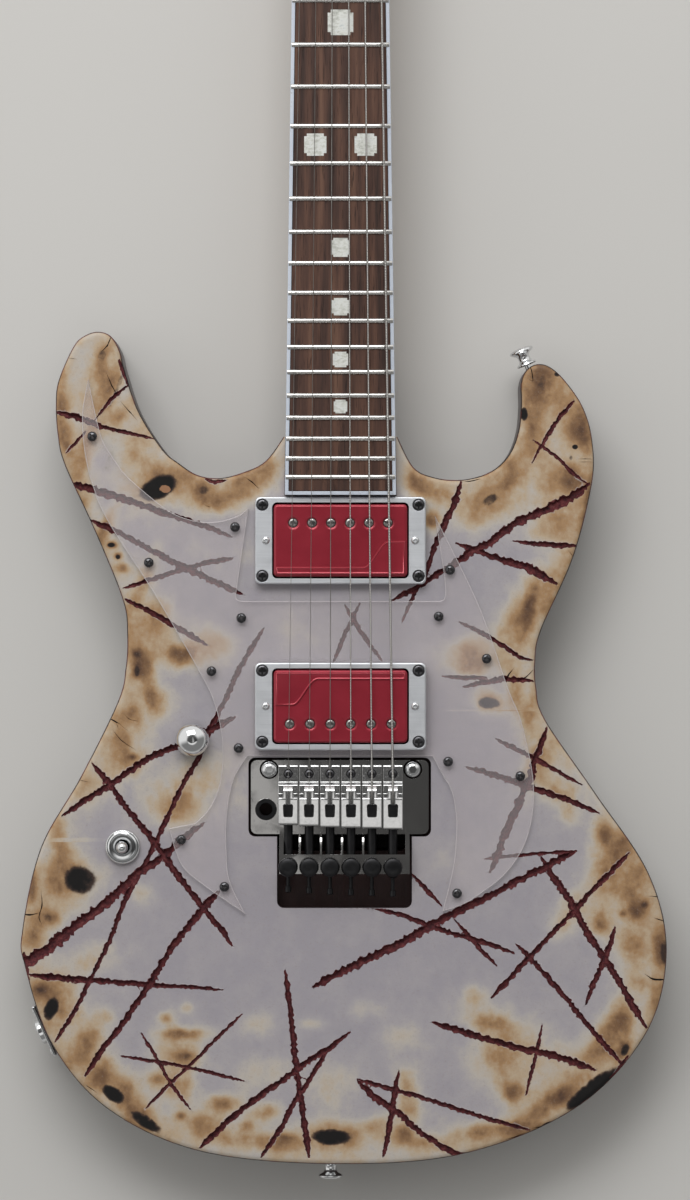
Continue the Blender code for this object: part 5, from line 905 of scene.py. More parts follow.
EVEN = (1, 1, 1)
FINISHES = {
    "paint": scorched_paint(),
    "lacquer": mottled(
        "dark_lacquer", {"Coat Weight": 0.25, "Coat Roughness": 0.3}, (25, 5),
        (160, 5, EVEN, 0.7), ((0.020, 0.012, 0.012), (0.045, 0.020, 0.018)),
        (0.60, 0.68, 0.8, (0.11, 0.035, 0.028)), (0.35, 0, 0.3), 0.15),
    "rout": mottled(
        "rout_wood", {}, (300, 5, (1, 0.12, 1), 0.7), (300, 5, (1, 0.12, 1), 0.7),
        ((0.008, 0.003, 0.003), (0.040, 0.009, 0.008)), None, (0.5, 0, 0.3), 0.3),
    "guard": milky_acrylic("guard_acrylic", (0.85, 0.78, 0.80), 0.115, 0.12),
    "guard_edge": milky_acrylic("guard_edge", (0.80, 0.75, 0.76), 0.42, 0.1),
    "chrome": plated("chrome", (0.74, 0.75, 0.76), 0.03, 0.15, 150, 0.005, 0.06),
    "nickel": plated("plate_nickel", (0.66, 0.65, 0.64), 0.03, 0.12, 90, 0.004, 0.05),
    "satin": plated("saddle_nickel", (0.66, 0.66, 0.66), 0.13, 0.2, 700),
    "fret": plated("fret_nickel", (0.62, 0.61, 0.59), 0.2, 0.1, 700),
    "steel": plated("spring_steel", (0.46, 0.46, 0.46), 0.25, 0.5),
    "black": mottled(
        "blackened_steel", {"Metallic": 0.7}, (220, 3), (1300, 4, EVEN, 0.7),
        ((0.008, 0.008, 0.009), (0.028, 0.028, 0.030)), (0.68, 0.76, 1, (0.22, 0.21, 0.20)),
        (0.24, 0.2, 0), 0.02),
    "gunmetal": plated("gunmetal", (0.085, 0.085, 0.09), 0.2, 0.3),
    "pole": plated("pole_steel", (0.30, 0.29, 0.28), 0.22, 0.4),
    "aluminium": brushed_aluminium(),
    "red": mottled(
        "red_metal", {"Metallic": 0.55, "Coat Weight": 0.5, "Coat Roughness": 0.18}, (70, 3),
        (1400, 2), ((0.27, 0.010, 0.024), (0.37, 0.020, 0.040)),
        (0.66, 0.74, 0.5, (0.16, 0.006, 0.012)), (0.28, 0.12, 0.1), 0.012),
    "board": board_wood(),
    "neck": mottled(
        "neck_wood", {"Coat Weight": 0.15, "Coat Roughness": 0.35}, (120, 5, (1, 0.05, 1), 0.55),
        (700, 3, (1, 0.03, 1), 0.6),
        [(0.3, (0.20, 0.105, 0.048)), (0.5, (0.30, 0.165, 0.078)), (0.7, (0.40, 0.235, 0.115))],
        (0.56, 0.7, 0.5, (0.13, 0.06, 0.028)), (0.34, 0, 0.16), 0.05),
    "pearl": pearl(),
    "binding": mottled(
        "edge_binding", {"Coat Weight": 0.3, "Coat Roughness": 0.2}, (90, 4), (500, 4, EVEN, 0.7),
        ((0.48, 0.53, 0.62), (0.60, 0.65, 0.72)), (0.58, 0.72, 0.5, (0.28, 0.27, 0.27)),
        (0.28, 0, 0.2), 0),
    "cover": mottled(
        "cover_plastic", {}, (60, 4), (1800, 3), ((0.014, 0.014, 0.015), (0.032, 0.031, 0.031)),
        None, (0.32, 0.22, 0), 0.04),
    "plain_wire": wire("plain_wire", False),
    "wound_wire": wire("wound_wire", True),
}


# Body

GROOVE_STEP = 1.25 * MM
GROOVE_TAPER = 9 * MM
GROOVE_TIP_SHARE = 0.22
GROOVE_SEARCH = 8 * MM
FRINGE = 0.9 * MM
DEPTH_TO_HALF_WIDTH = 1.5
FLANK_SHARE = 0.55
FRONT_DEPTH = 5.5 * MM
WALL_REACH = 3.2 * MM
SMALL_PATCH_PX = 16
BATCH = 2000


class Groove:
    """A ragged groove along a picture path, with its own width to either side."""

    def __init__(self, points, start_width, end_width, dice, raggedness, depth_limit):
        path = smooth_run([photo_point(px, py) for px, py in points], GROOVE_STEP)
        count = len(path)
        self.centre = np.array([(p.x, p.y) for p in path])
        along = np.gradient(self.centre, axis=0)
        along = along / np.linalg.norm(along, axis=1)[:, None]
        self.across = np.stack([-along[:, 1], along[:, 0]], axis=1)
        share = np.linspace(0, 1, count)
        half = (start_width + (end_width - start_width) * share) * PIXEL / 2
        length = np.arange(count) * GROOVE_STEP
        from_end = np.minimum(length, length[::-1])
        taper = GROOVE_TIP_SHARE + (1 - GROOVE_TIP_SHARE) * from_end / GROOVE_TAPER
        half = half * np.minimum(1, taper)
        self.left = half * np.array([1 + raggedness * dice.uniform(-1, 1) for _ in path])
        self.right = half * np.array([1 + raggedness * dice.uniform(-1, 1) for _ in path])
        self.depth = np.minimum(depth_limit, DEPTH_TO_HALF_WIDTH * half)

    def lines(self):
        """Lines of points along the groove: its edges, its flanks and its middle."""
        found = []
        for side, reach in ((1, self.left), (-1, self.right)):
            for share in (1.0, 0.5):
                found.append(self.centre + self.across * (side * share * reach)[:, None])
        found.append(self.centre)
        return found

    def fringe(self):
        """Loose points just outside both edges."""
        left = self.centre + self.across * (self.left + FRINGE)[:, None]
        right = self.centre - self.across * (self.right + FRINGE)[:, None]
        return np.concatenate([left[::2], right[::2]])

    def measure(self, points):
        """For points in plan: distance inside the edge, negative outside, and the depth there."""
        inside = np.full(len(points), -1.0)
        depth = np.zeros(len(points))
        low = self.centre.min(0) - GROOVE_SEARCH
        high = self.centre.max(0) + GROOVE_SEARCH
        near = np.nonzero(np.all((points > low) & (points < high), axis=1))[0]
        if not len(near):
            return inside, depth
        chosen = points[near]
        start = self.centre[:-1]
        run = self.centre[1:] - start
        best = np.full(len(near), 1e9)
        for index in range(len(start)):
            away = chosen - start[index]
            t = np.clip(away @ run[index] / (run[index] @ run[index]), 0, 1)
            gap = np.linalg.norm(away - t[:, None] * run[index], axis=1)
            closer = np.nonzero(gap < best)[0]
            if not len(closer):
                continue
            best[closer] = gap[closer]
            side = run[index][0] * away[closer, 1] - run[index][1] * away[closer, 0]
            t = t[closer]
            left = self.left[index] * (1 - t) + self.left[index + 1] * t
            right = self.right[index] * (1 - t) + self.right[index + 1] * t
            half = np.where(side > 0, left, right)
            slot = near[closer]
            inside[slot] = half - gap[closer]
            share = np.clip(inside[slot] / half, 0, 1)
            depth[slot] = self.depth[index] * np.minimum(1, share / FLANK_SHARE) ** 0.8
        return inside, depth


def measure_all(grooves, points):
    """The deepest reach into any groove, and its depth, at points in plan."""
    inside = np.full(len(points), -1.0)
    depth = np.zeros(len(points))
    for groove in grooves:
        here, down = groove.measure(points)
        inside = np.maximum(inside, here)
        depth = np.maximum(depth, down)
    return inside, depth


def patch_field(points, patches, hard):
    """How strongly a list of patches covers points in plan, from 0 to 1."""
    bare = np.ones(len(points))
    for px, py, wide, tall, tilt, amount in patches:
        middle = photo_point(px, py)
        turn = math.radians(tilt)
        away = (points - np.array(middle)) / PIXEL
        x = away[:, 0] * math.cos(turn) - away[:, 1] * math.sin(turn)
        y = away[:, 0] * math.sin(turn) + away[:, 1] * math.cos(turn)
        distance = np.sqrt((x / wide) ** 2 + (y / tall) ** 2)
        if hard:
            cover = np.clip((1.45 - distance) / 0.9, 0, 1)
            cover = cover * cover * (3 - 2 * cover)
        else:
            cover = 0.84 * np.exp(-1.15 * distance ** 2.2) + 0.16 * np.exp(-0.3 * distance ** 2)
        bare *= 1 - amount * cover
    return 1 - bare


def patch_points(patches):
    """Points that let the mesh follow the small patches."""
    points = []
    for px, py, wide, tall, tilt, _ in patches:
        if min(wide, tall) > SMALL_PATCH_PX:
            continue
        middle = photo_point(px, py)
        turn = math.radians(-tilt)
        points.append(tuple(middle))
        for share, sides in ((0.45, 8), (0.8, 14), (1.15, 18)):
            for x, y in circle(0, 0, share, sides):
                x, y = x * wide * PIXEL, y * tall * PIXEL
                points.append((middle.x + x * math.cos(turn) + y * math.sin(turn),
                               middle.y - x * math.sin(turn) + y * math.cos(turn)))
    return points


def rim_distance(points, outline):
    """Distance in plan from points to the body's outline, leaving out the neck joint."""
    line = np.array([(p.x, p.y) for p in outline])
    start = line[:-1]
    run = line[1:] - start
    length = (run ** 2).sum(1)
    found = np.empty(len(points))
    for first in range(0, len(points), BATCH):
        part = points[first:first + BATCH]
        away = part[:, None, :] - start[None]
        t = np.clip((away * run).sum(2) / length, 0, 1)
        gap = away - t[..., None] * run
        found[first:first + BATCH] = np.sqrt((gap ** 2).sum(2).min(1))
    return found


def body_blank(outline):
    """The body's sides, back and routs, with a flat front."""
    rings = [ring(offset(outline, -RIM_RADIUS), 0)]
    for turn in (30, 60, 90):
        inset = RIM_RADIUS * (1 - math.sin(math.radians(turn)))
        rings.append(ring(offset(outline, -inset),
                          RIM_RADIUS * (1 - math.cos(math.radians(turn)))))
    rings.append(ring(outline, TOP))
    half, tongue_end = HEEL_TONGUE
    tongue = rounded(-half, BOARD_END_Y, half, tongue_end, 10 * MM)
    blank = carve(stack(rings), [ease(prism(tongue, 0.6 * MM, POCKET_FLOOR), MM, 3)], "UNION")
    near, far = BOARD_END_Y - GAP, POCKET_END_Y
    pocket = [(side * (board_half(y) + GAP), y)
              for side, y in ((-1, near), (1, near), (1, far), (-1, far))]
    cavity = smooth_run(millimetres(CONTROL_CAVITY + CONTROL_CAVITY[:1]), 6 * MM)[:-1]
    wells = [prism(pocket, POCKET_FLOOR, TOP + 2 * MM)]
    for y in (NECK_PICKUP_Y, BRIDGE_PICKUP_Y):
        wells.append(prism(pickup_opening(y), PICKUP_ROUT_FLOOR, TOP + MM))
    for x0, y0, x1, y1, radius, floor, top in mm(*TREMOLO_WELLS):
        wells.append(prism(rounded(x0, y0, x1, y1, radius), floor, top))
    wells += [
        prism(cavity, -MM, CONTROL_CEILING),
        prism(offset(cavity, COVER_MARGIN), -MM, COVER_SEAT),
        prism(circle(*KNOB, 5 * MM, 24), COVER_THICKNESS, TOP + MM),
        prism(circle(*SWITCH, 6.3 * MM, 24), COVER_THICKNESS, TOP + MM),
        jack_slab(29 * MM, 46 * MM, -0.3 * MM, 6 * MM),
        turned(mm((7.5, -24), (7.5, 3)), JACK, JACK_OUTWARDS, 32),
    ]
    for x, y in NECK_SCREWS:
        wells.append(prism(circle(x, y, 6.5 * MM, 32), -MM, 3 * MM))
    return carve(blank, wells)


def board_half(y):
    """Half of the fretboard's width at a place along the neck."""
    share = (y - BOARD_END_Y) / (SCALE_LENGTH - BOARD_END_Y)
    return BOARD_HALF_AT_END + (BOARD_HALF_AT_NUT - BOARD_HALF_AT_END) * share


def pickup_opening(y):
    """Outline of the well under a pickup, which the guard leaves open too."""
    return centred(ROUT_LENGTH, ROUT_WIDTH, y, 4 * MM)


def jack_slab(length, height, near, far):
    """Upright slab facing the jack, between two distances along its outward direction."""
    sideways = JACK_SIDEWAYS * length / 2
    lift = Vector((0, 0, height / 2))
    rings = []
    for distance in (near, far):
        middle = JACK + JACK_OUTWARDS * distance
        rings.append([middle - sideways - lift, middle + sideways - lift,
                      middle + sideways + lift, middle - sideways + lift])
    return stack(rings)


def front_height(points, outline, grooves):
    """Height of the worn front at points in plan, with how far in the rim and grooves are."""
    rim = rim_distance(points, outline)
    inset = np.clip(RIM_RADIUS - rim, 0, RIM_RADIUS)
    drop = RIM_RADIUS - np.sqrt(RIM_RADIUS ** 2 - inset ** 2)
    inside, depth = measure_all(grooves, points)
    return TOP - drop - depth * (1 - 0.5 * drop / RIM_RADIUS), rim, inside


def make_body():
    """Body with its front cut as fine ragged relief."""
    outline = smooth_run(millimetres(BODY_SIDE), RIM_STEP)
    blank = body_blank(outline)
    dice = random.Random(11)
    gouges = [Groove(*gouge, dice, 0.42, 2.3 * MM) for gouge in GOUGES_PX]
    gouges += [Groove(*chip, dice, 0.3, 0.9 * MM) for chip in CHIPS_PX]
    cracks = [Groove(*crack, dice, 0.35, 0.6 * MM) for crack in CRACKS_PX]

    front = [face for face in blank.faces
             if face.normal.z > 0.99 and face.calc_center_median().z > TOP - 0.05 * MM]
    corners = list({vertex for face in front for vertex in face.verts})
    corners.sort(key=lambda vertex: vertex.index)
    number = {vertex: index for index, vertex in enumerate(corners)}
    polygons = [[number[vertex] for vertex in face.verts] for face in front]
    points = [(vertex.co.x, vertex.co.y) for vertex in corners]
    bmesh.ops.delete(blank, geom=front, context="FACES")

    edges = []
    lines = [line for groove in gouges + cracks for line in groove.lines()]
    lines += [offset(outline, -inset * MM) for inset in (0.3, 0.7, 1.3, 2.5)]
    for line in lines:
        start = len(points)
        points += [tuple(p) for p in line]
        edges += [(index, index + 1) for index in range(start, len(points) - 1)]
    for groove in gouges:
        points += [tuple(p) for p in groove.fringe()]
    points += patch_points(SCORCH_AND_SHADOW_PX + BURNS_PX + [WARM_CHIP_PX])
    low, high = CAD_BOX
    columns = np.arange(low.x, high.x, GRID_STEP)
    rows = np.arange(-196 * MM, 240 * MM, GRID_STEP)
    for row_number, y in enumerate(rows):
        points += [(x + 0.5 * GRID_STEP * (row_number % 2), y) for x in columns]

    scaled = [Vector((x / MM, y / MM)) for x, y in points]
    placed, _, triangles, sources, _, kept = delaunay_2d_cdt(scaled, edges, polygons, 0, 1e-4,
                                                             True)
    plan = np.array([(p.x * MM, p.y * MM) for p in placed])
    triangles = [face for face, origin in zip(triangles, kept) if origin]

    vertex_of = {}
    for index, origin in enumerate(sources):
        for source in origin:
            if source < len(corners):
                vertex_of[index] = corners[source]
    add_border_corners(blank, plan, triangles, vertex_of)

    used = sorted({index for face in triangles for index in face})
    heights, _, _ = front_height(plan[used], outline, gouges)
    _, crack_depth = measure_all(cracks, plan[used])
    for index, height, down in zip(used, heights, crack_depth):
        if index not in vertex_of:
            vertex_of[index] = blank.verts.new((plan[index][0], plan[index][1], height))
        vertex_of[index].co = (plan[index][0], plan[index][1], height - down)
    for face in blank.faces:
        face.material_index = wall_finish(face, outline)
    for a, b, c in triangles:
        ends = (vertex_of[a], vertex_of[b], vertex_of[c])
        if len(set(ends)) == 3 and blank.faces.get(ends) is None:
            blank.faces.new(ends)
    bmesh.ops.recalc_face_normals(blank, faces=blank.faces)
    body = show("gouged_body", blank, ["paint", "lacquer", "rout"], "guitar", ["body"],
                38, False)
    mark_body(body.data, outline, gouges, cracks)


def add_border_corners(blank, plan, triangles, vertex_of):
    """Split the walls' top edges where a groove's line crosses them."""
    uses = {}
    for face in triangles:
        for a, b in zip(face, face[1:] + face[:1]):
            key = (min(a, b), max(a, b))
            uses[key] = uses.get(key, 0) + 1
    border = {index for key, count in uses.items() if count == 1 for index in key}
    missing = [index for index in border if index not in vertex_of]
    open_edges = [edge for edge in blank.edges if edge.is_boundary]
    if not missing:
        return
    start = np.array([edge.verts[0].co.to_2d() for edge in open_edges])
    run = np.array([edge.verts[1].co.to_2d() for edge in open_edges]) - start
    length = (run ** 2).sum(1)
    cuts = {}
    for index in missing:
        away = plan[index] - start
        t = np.clip((away * run).sum(1) / length, 0, 1)
        gap = ((away - t[:, None] * run) ** 2).sum(1)
        nearest = int(gap.argmin())
        cuts.setdefault(nearest, []).append((t[nearest], index))
    for edge_number, found in cuts.items():
        edge = open_edges[edge_number]
        first, last = edge.verts
        done = 0.0
        for t, index in sorted(found):
            share = (t - done) / max(1e-9, 1 - done)
            _, corner = bmesh.utils.edge_split(edge, first, share)
            vertex_of[index] = corner
            edge = next(e for e in corner.link_edges if e.other_vert(corner) is last)
            first = corner
            done = t


def wall_finish(face, outline):
    """Finish of a wall: 1 for the outside, 2 inside the routs."""
    middle = face.calc_center_median()
    if face.normal.z < -0.9 and middle.z < MM:
        return 1
    gap = min((p - middle.to_2d()).length_squared for p in outline[::2])
    outside = gap < WALL_REACH ** 2 or middle.y > NECK_JOINT_Y
    return 1 if outside else 2


def mark_body(mesh, outline, gouges, cracks):
    """Store on the front how scorched, charred and gouged it is, where the guard's shadow is
    painted, and how near the rim.
    """
    places = np.empty(len(mesh.vertices) * 3)
    mesh.vertices.foreach_get("co", places)
    places = places.reshape(-1, 3)
    plan = places[:, :2]
    front = places[:, 2] > TOP - FRONT_DEPTH
    rim = rim_distance(plan, outline) / MM
    inside, _ = measure_all(gouges, plan)
    crack, _ = measure_all(cracks, plan)
    # Scorch patches, among them the painted shadow line along the guard's left edge.
    scorch = patch_field(plan, SCORCH_AND_SHADOW_PX, False)
    scorch = 1 - (1 - scorch) * (1 - 0.3 * np.exp(-rim / 9))
    char = patch_field(plan, BURNS_PX, True)
    char = np.maximum(char, np.clip(crack / (0.25 * MM), 0, 1))
    values = {
        "scorch": scorch,
        "char": char,
        "warm": patch_field(plan, [WARM_CHIP_PX], True),
        "gouge": np.where(front, np.clip(inside / MM, -1.5, 2), -1.5),
        "rim": np.clip(rim, 0, 4),
    }
    for name, numbers in values.items():
        layer = mesh.attributes.new(name, "FLOAT", "POINT")
        layer.data.foreach_set("value", numbers.astype(np.float32))


# Screws and small fasteners

def head_shape(radius, height, drive, foot):
    """Screw head standing on its seat, with a cross, slot or hexagon in it."""
    shoulder = 0.12 * height
    profile = [(0.8 * radius, -foot), (0.97 * radius, -foot), (radius, shoulder)]
    profile += dome(0.96 * radius, 0.88 * height, base=shoulder)
    above = 2 * height + MM
    if drive == "cross":
        arms = [(0.64 * radius, 0.15 * radius), (0.15 * radius, 0.64 * radius)]
        tools = [box(-wide, -tall, -0.5 * MM, wide, tall, 2 * height) for wide, tall in arms]
    elif drive == "slot":
        tools = [box(-2 * radius, -0.19 * radius, 0.1 * height, 2 * radius, 0.19 * radius, above)]
    else:
        tools = [prism(circle(0, 0, 0.52 * radius, 6), -0.5 * foot, above)]
    return carve(turned(profile, sides=28), tools)


def show_screws(name, radius, height, drive, places, finish, foot=0.6, body="guitar"):
    """Show screw heads at several places, with their sizes in millimetres."""
    head = head_shape(radius * MM, height * MM, drive, foot * MM)
    show(name, repeated(head, places), finish, body)


def dress(name, node, finish, width, segments=2, angle=30, body="guitar", smooth=35):
    """Show a CAD solid with its edges eased by a width in millimetres, and its finish."""
    shape = ease(cad_shape(node), width * MM, segments, angle)
    show(name, shape, finish, body, [node], smooth)


def recoat(node, finish):
    """Give a CAD solid that stays in view its real finish."""
    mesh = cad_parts[node].data
    mesh.materials.clear()
    mesh.materials.append(FINISHES[finish])


# Guard

def without_crowding(outline):
    """Leave out the points next to sharp tips, where an inset edge would cross itself."""
    count = len(outline)
    tips = []
    for index, point in enumerate(outline):
        arriving = point - outline[index - 1]
        leaving = outline[(index + 1) % count] - point
        if arriving.angle(leaving) > math.radians(120):
            tips.append(index)
    return [point for index, point in enumerate(outline)
            if not any((index - tip) % count in (1, count - 1) for tip in tips)]


def sheet_shape(outline, opening, low, high, edge):
    """Flat sheet with one opening and chamfered edges all round."""
    sheet = bmesh.new()
    faces_of = {low: [], high: []}
    for loop, inwards in ((outline, -edge), (opening, edge)):
        narrow = offset(loop, inwards)
        levels = [(narrow, low), (loop, low + edge), (loop, high - edge), (narrow, high)]
        rows = [[sheet.verts.new(point) for point in ring(plan, z)] for plan, z in levels]
        for lower, upper in zip(rows, rows[1:]):
            for index in range(len(loop)):
                after = (index + 1) % len(loop)
                sheet.faces.new((lower[index], lower[after], upper[after], upper[index]))
        faces_of[low].append(rows[0])
        faces_of[high].append(rows[-1])
    for outer, inner in faces_of.values():
        corners = outer + inner
        plan = [(corner.co / MM).to_2d() for corner in corners]
        loops = [list(range(len(outer))), list(range(len(outer), len(corners)))]
        _, _, triangles, sources, _, origins = delaunay_2d_cdt(plan, [], loops, 0, 1e-5, True)
        for triangle, origin in zip(triangles, origins):
            if list(origin) == [0]:
                sheet.faces.new([corners[sources[index][0]] for index in triangle])
    bmesh.ops.recalc_face_normals(sheet, faces=sheet.faces)
    return sheet


def make_guard():
    """Milky guard sheet with polished edges, and its cross-head screws."""
    outline = []
    for run in GUARD_RUNS:
        outline += smooth_run(millimetres(run), 2.5 * MM)[:-1]
    sheet = sheet_shape(without_crowding(outline), pickup_opening(BRIDGE_PICKUP_Y), GUARD_BOTTOM,
                        GUARD_TOP, 0.35 * MM)
    for face in sheet.faces:
        face.material_index = 0 if abs(face.normal.z) > 0.95 else 1
    show("guard_sheet", sheet, ["guard", "guard_edge"], "guitar", ["pickguard"])
    dice = random.Random(3)
    spots = [facing((point.x, point.y, GUARD_TOP), UPWARDS, dice.uniform(0, 3))
             for point in millimetres(GUARD_SCREWS)]
    show_screws("guard_screws", 2.5, 1.2, "cross", spots, "gunmetal", 2)


# Pickups

def step_outline(side):
    """The raised part of a pickup cover, bounded by its S-shaped edge."""
    half_length = COVER_LENGTH / 2 - MM
    half_width = COVER_WIDTH / 2 - MM
    low, high = -13.5 * MM, -0.2 * MM
    points = [(-half_length, -half_width), (half_length, -half_width), (half_length, high)]
    for index in range(17):
        share = 1 - index / 16
        points.append((11.5 * MM + 13 * MM * share,
                       low + (high - low) * share * share * (3 - 2 * share)))
    points.append((-half_length, low))
    return [(x * side, y * side) for x, y in points]


def make_pickup(prefix, y, side, seat, pole_pitch):
    """Red cover with its step, six slotted poles, and the brushed frame round it."""
    high = seat + RING_HEIGHT
    top = high + COVER_RISE
    face = top - COVER_STEP
    cover = round_prism(centred(COVER_LENGTH, COVER_WIDTH, y, 2.2 * MM), top - 20 * MM, face,
                        1.5 * MM, 5)
    raised = [(x, y + along) for x, along in step_outline(side)]
    lip = [ring(raised, top - 2 * COVER_STEP), ring(raised, face)]
    for inset, drop in mm((0.6, 0.05), (0.8, 0), (1, 0.05), (1.5, 0.4)):
        lip.append(ring(offset(raised, -inset), top - drop))
    cover = carve(cover, [stack(lip)], "UNION")
    holes = []
    poles = []
    for number in range(1, 7):
        spot = (string_x(number, pole_pitch), y + side * POLE_OFFSET)
        dish = mm((2.6, -3), (2.6, -0.45), (3.1, -0.3), (4, 0.02), (4, 2))
        holes.append(turned(dish, (*spot, face), sides=36))
        poles.append(facing((*spot, face - 0.35 * MM), UPWARDS, 0.5 + 0.9 * number))
    show(f"{prefix}_cover", carve(cover, holes), "red", "guitar", [prefix], 50)
    show_screws(f"{prefix}_poles", 2.3, 0.6, "slot", poles, "pole", 2)

    rim = round_prism(centred(RING_LENGTH, RING_WIDTH, y, 2.8 * MM), seat, high, 0.9 * MM)
    tools = [prism(centred(WINDOW_LENGTH, WINDOW_WIDTH, y, 2.6 * MM), seat - MM, high + MM)]
    corners = [(x, y + along) for x in (-RING_SCREW_X, RING_SCREW_X)
               for along in (-RING_SCREW_Y, RING_SCREW_Y)]
    for x, along in corners:
        tools.append(turned(mm((2, -1.6), (3.3, 0), (3.6, 0.3)), (x, along, high), sides=28))
    show(f"{prefix}_frame", ease(carve(rim, tools), 0.2 * MM, 2, 50), "aluminium", "guitar",
         [f"{prefix}_ring"], 30)
    spots = [(x, along, high - 0.25 * MM) for x, along in corners]
    show_screws(f"{prefix}_frame_screws", 2.95, 0.75, "cross", spots, "gunmetal", 1.2)
    spots = [(x, y, high) for x in (-HEIGHT_SCREW_X, HEIGHT_SCREW_X)]
    show_screws(f"{prefix}_height_screws", 2, 0.9, "cross", spots, "chrome")


# Neck

def make_fretboard():
    """Dark board with its inlays, and the frets across it."""
    rings = []
    for y in (BOARD_END_Y + BINDING_WIDTH + GAP, SCALE_LENGTH):
        half = board_half(y) - BINDING_WIDTH - GAP
        across = [half * (1 - index / 6) for index in range(13)]
        rings.append([(-half, y, BOARD_BOTTOM), (half, y, BOARD_BOTTOM)]
                     + [(x, y, BOARD_TOP - crown(x)) for x in across])
    show("dark_board", stack(rings), "board", "guitar", ["fretboard"])
    frets = [make_fret(fret_line(number)) for number in range(1, FRETS + 1)]
    show("frets", merged(*frets), "fret", smooth=50)
    show("inlays", merged(*inlay_shapes()), "pearl")
    dress("board_binding", "fretboard_binding", "binding", 0.3)


def fret_line(number):
    """Place of a fret along the neck."""
    return SCALE_LENGTH * 2 ** (-number / 12)


def make_fret(y):
    """One crowned fret that follows the board's curve, with sloped ends over the binding."""
    half = board_half(y) - 0.35 * MM
    width = 1.25 * MM
    rings = []
    for index in range(15):
        share = 2 * index / 14 - 1
        x = half * share
        low = BOARD_TOP - crown(x) - 0.3 * MM
        rise = FRET_HEIGHT if abs(share) < 0.99 else 0.25 * MM
        section = [(x, y - width, low)]
        for step in range(7):
            turn = math.pi * step / 6
            section.append((x, y - width * math.cos(turn),
                            low + 0.35 * MM + (rise - 0.05 * MM) * math.sin(turn)))
        rings.append(section + [(x, y + width, low)])
    return stack(rings)


def inlay_shapes():
    """Pearl squares with notched corners between the frets."""
    shapes = []
    for fret, x, size in INLAYS:
        middle = (fret_line(fret) + fret_line(fret - 1)) / 2
        half = size * MM / 2
        inner = half - 0.24 * half
        corner = [(half, inner), (inner, inner), (inner, half)]
        plan = (corner + [(-a, b) for a, b in corner[::-1]] + [(-a, -b) for a, b in corner]
                + [(a, -b) for a, b in corner[::-1]])
        low = BOARD_TOP - 1.2 * MM
        spots = [(x * MM + across, middle + along) for across, along in plan]
        shapes.append(stack([
            ring(spots, low),
            [(a, b, BOARD_TOP - crown(a) + 0.05 * MM) for a, b in spots]]))
    return shapes


def make_neck():
    """Neck and headstock in wood, with the plated tuner housings under it."""
    neck = cad_shape("neck")
    for face in neck.faces:
        middle = face.calc_center_median()
        housing = middle.z < HOUSING_TOP and middle.y > SCALE_LENGTH + 30 * MM
        face.material_index = 1 if housing else 0
    show("neck_and_headstock", ease(neck, 0.5 * MM, 2, 45), ["neck", "chrome"], "guitar",
         ["neck"], 42)
    dress("nut_block", "locking_nut", "black", 0.3)
    dress("retainer_bar", "string_retainer_bar", "black", 0.2, 1, 60)
    recoat("truss_rod", "black")
    for number in range(1, 7):
        post = f"tuner_post_{number}"
        button = f"tuner_button_{number}"
        dress(f"post_{number}", post, "chrome", 0.25, body=post, smooth=45)
        dress(f"button_{number}", button, "chrome", 0.4, 2, 40, button, 60)


def make_strings():
    """Strings in their wire finishes, with extra cuts just ahead of the saddles."""
    for number in range(1, 7):
        string = cad_shape(f"string_{number}")
        for step in range(1, 10):
            bmesh.ops.bisect_plane(string, geom=string.verts[:] + string.edges[:] + string.faces[:],
                                   plane_co=(0, 1.4 * step * MM, 0), plane_no=(0, 1, 0))
        coat = "plain_wire" if number < 4 else "wound_wire"
        piece = show(f"wire_{number}", string, coat, None, [f"string_{number}"], 80)
        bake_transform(piece)


# Tremolo

def saddle_shape(number):
    """Saddle with a low foot, two tabs, a narrow crest and a window for the clamp block."""
    x = string_x(number, STRING_PITCH)
    back = saddle_back(number)
    foot = PLATE_TOP + GAP
    crest = saddle_crest(x)
    half = SADDLE_HALF_WIDTH
    rear = side_prism([
        (back, foot), (-3.6 * MM, foot), (-3.6 * MM, crest - 0.9 * MM),
        (-4.4 * MM, crest - 0.5 * MM), (back + 1.2 * MM, crest - 2.3 * MM),
        (back, crest - 3.2 * MM)], x - half, x + half)
    front = side_prism([(y, foot + rise) for y, rise in mm(
        (-4, 0), (13, 0), (13, 2.2), (12.2, 2.7), (4.2, 3), (2.8, 5.3), (-4, 5.8))],
        x - half, x + half)
    tower = side_prism([(-5 * MM, foot + MM), (2.6 * MM, foot + MM)] + [
        (y, crest - drop) for y, drop in mm((2.6, 2), (1.4, 0.6), (0, 0), (-1.4, 0.4), (-5, 0.9))],
        x - 2.4 * MM, x + 2.4 * MM)
    shapes = [ease(front, 0.3 * MM), ease(tower, 0.25 * MM)]
    for side in (-1, 1):
        outer = x + side * half
        inner = outer - side * 2.4 * MM
        tab = box(min(outer, inner), -4 * MM, foot + 2 * MM, max(outer, inner), -1.4 * MM,
                  crest - 1.3 * MM)
        shapes.append(ease(tab, 0.3 * MM))
    saddle = carve(ease(rear, 0.5 * MM, 3), shapes, "UNION")
    window = rounded(x - 2.2 * MM, -13.5 * MM, x + 2.2 * MM, -7.2 * MM, 0.8 * MM)
    mouth = rounded(x - 2.8 * MM, -14.1 * MM, x + 2.8 * MM, -6.8 * MM, 1.1 * MM)
    tools = [
        box(x - 1.3 * MM, -7.4 * MM, foot + 5 * MM, x + 1.3 * MM, -0.4 * MM, crest + MM),
        prism(window, crest - 4 * MM, crest + MM),
        stack([ring(window, crest - 2.4 * MM), ring(mouth, crest - 0.6 * MM),
               ring(mouth, crest + MM)]),
        prism(circle(x, SADDLE_SCREW_Y, 2.7 * MM, 32), foot + 1.6 * MM, foot + 9 * MM),
        box(x - 0.9 * MM, 11.6 * MM, foot + 1.2 * MM, x + 0.9 * MM, 14 * MM, foot + 4 * MM),
    ]
    return ease(carve(saddle, tools), 0.12 * MM, 1, 55)


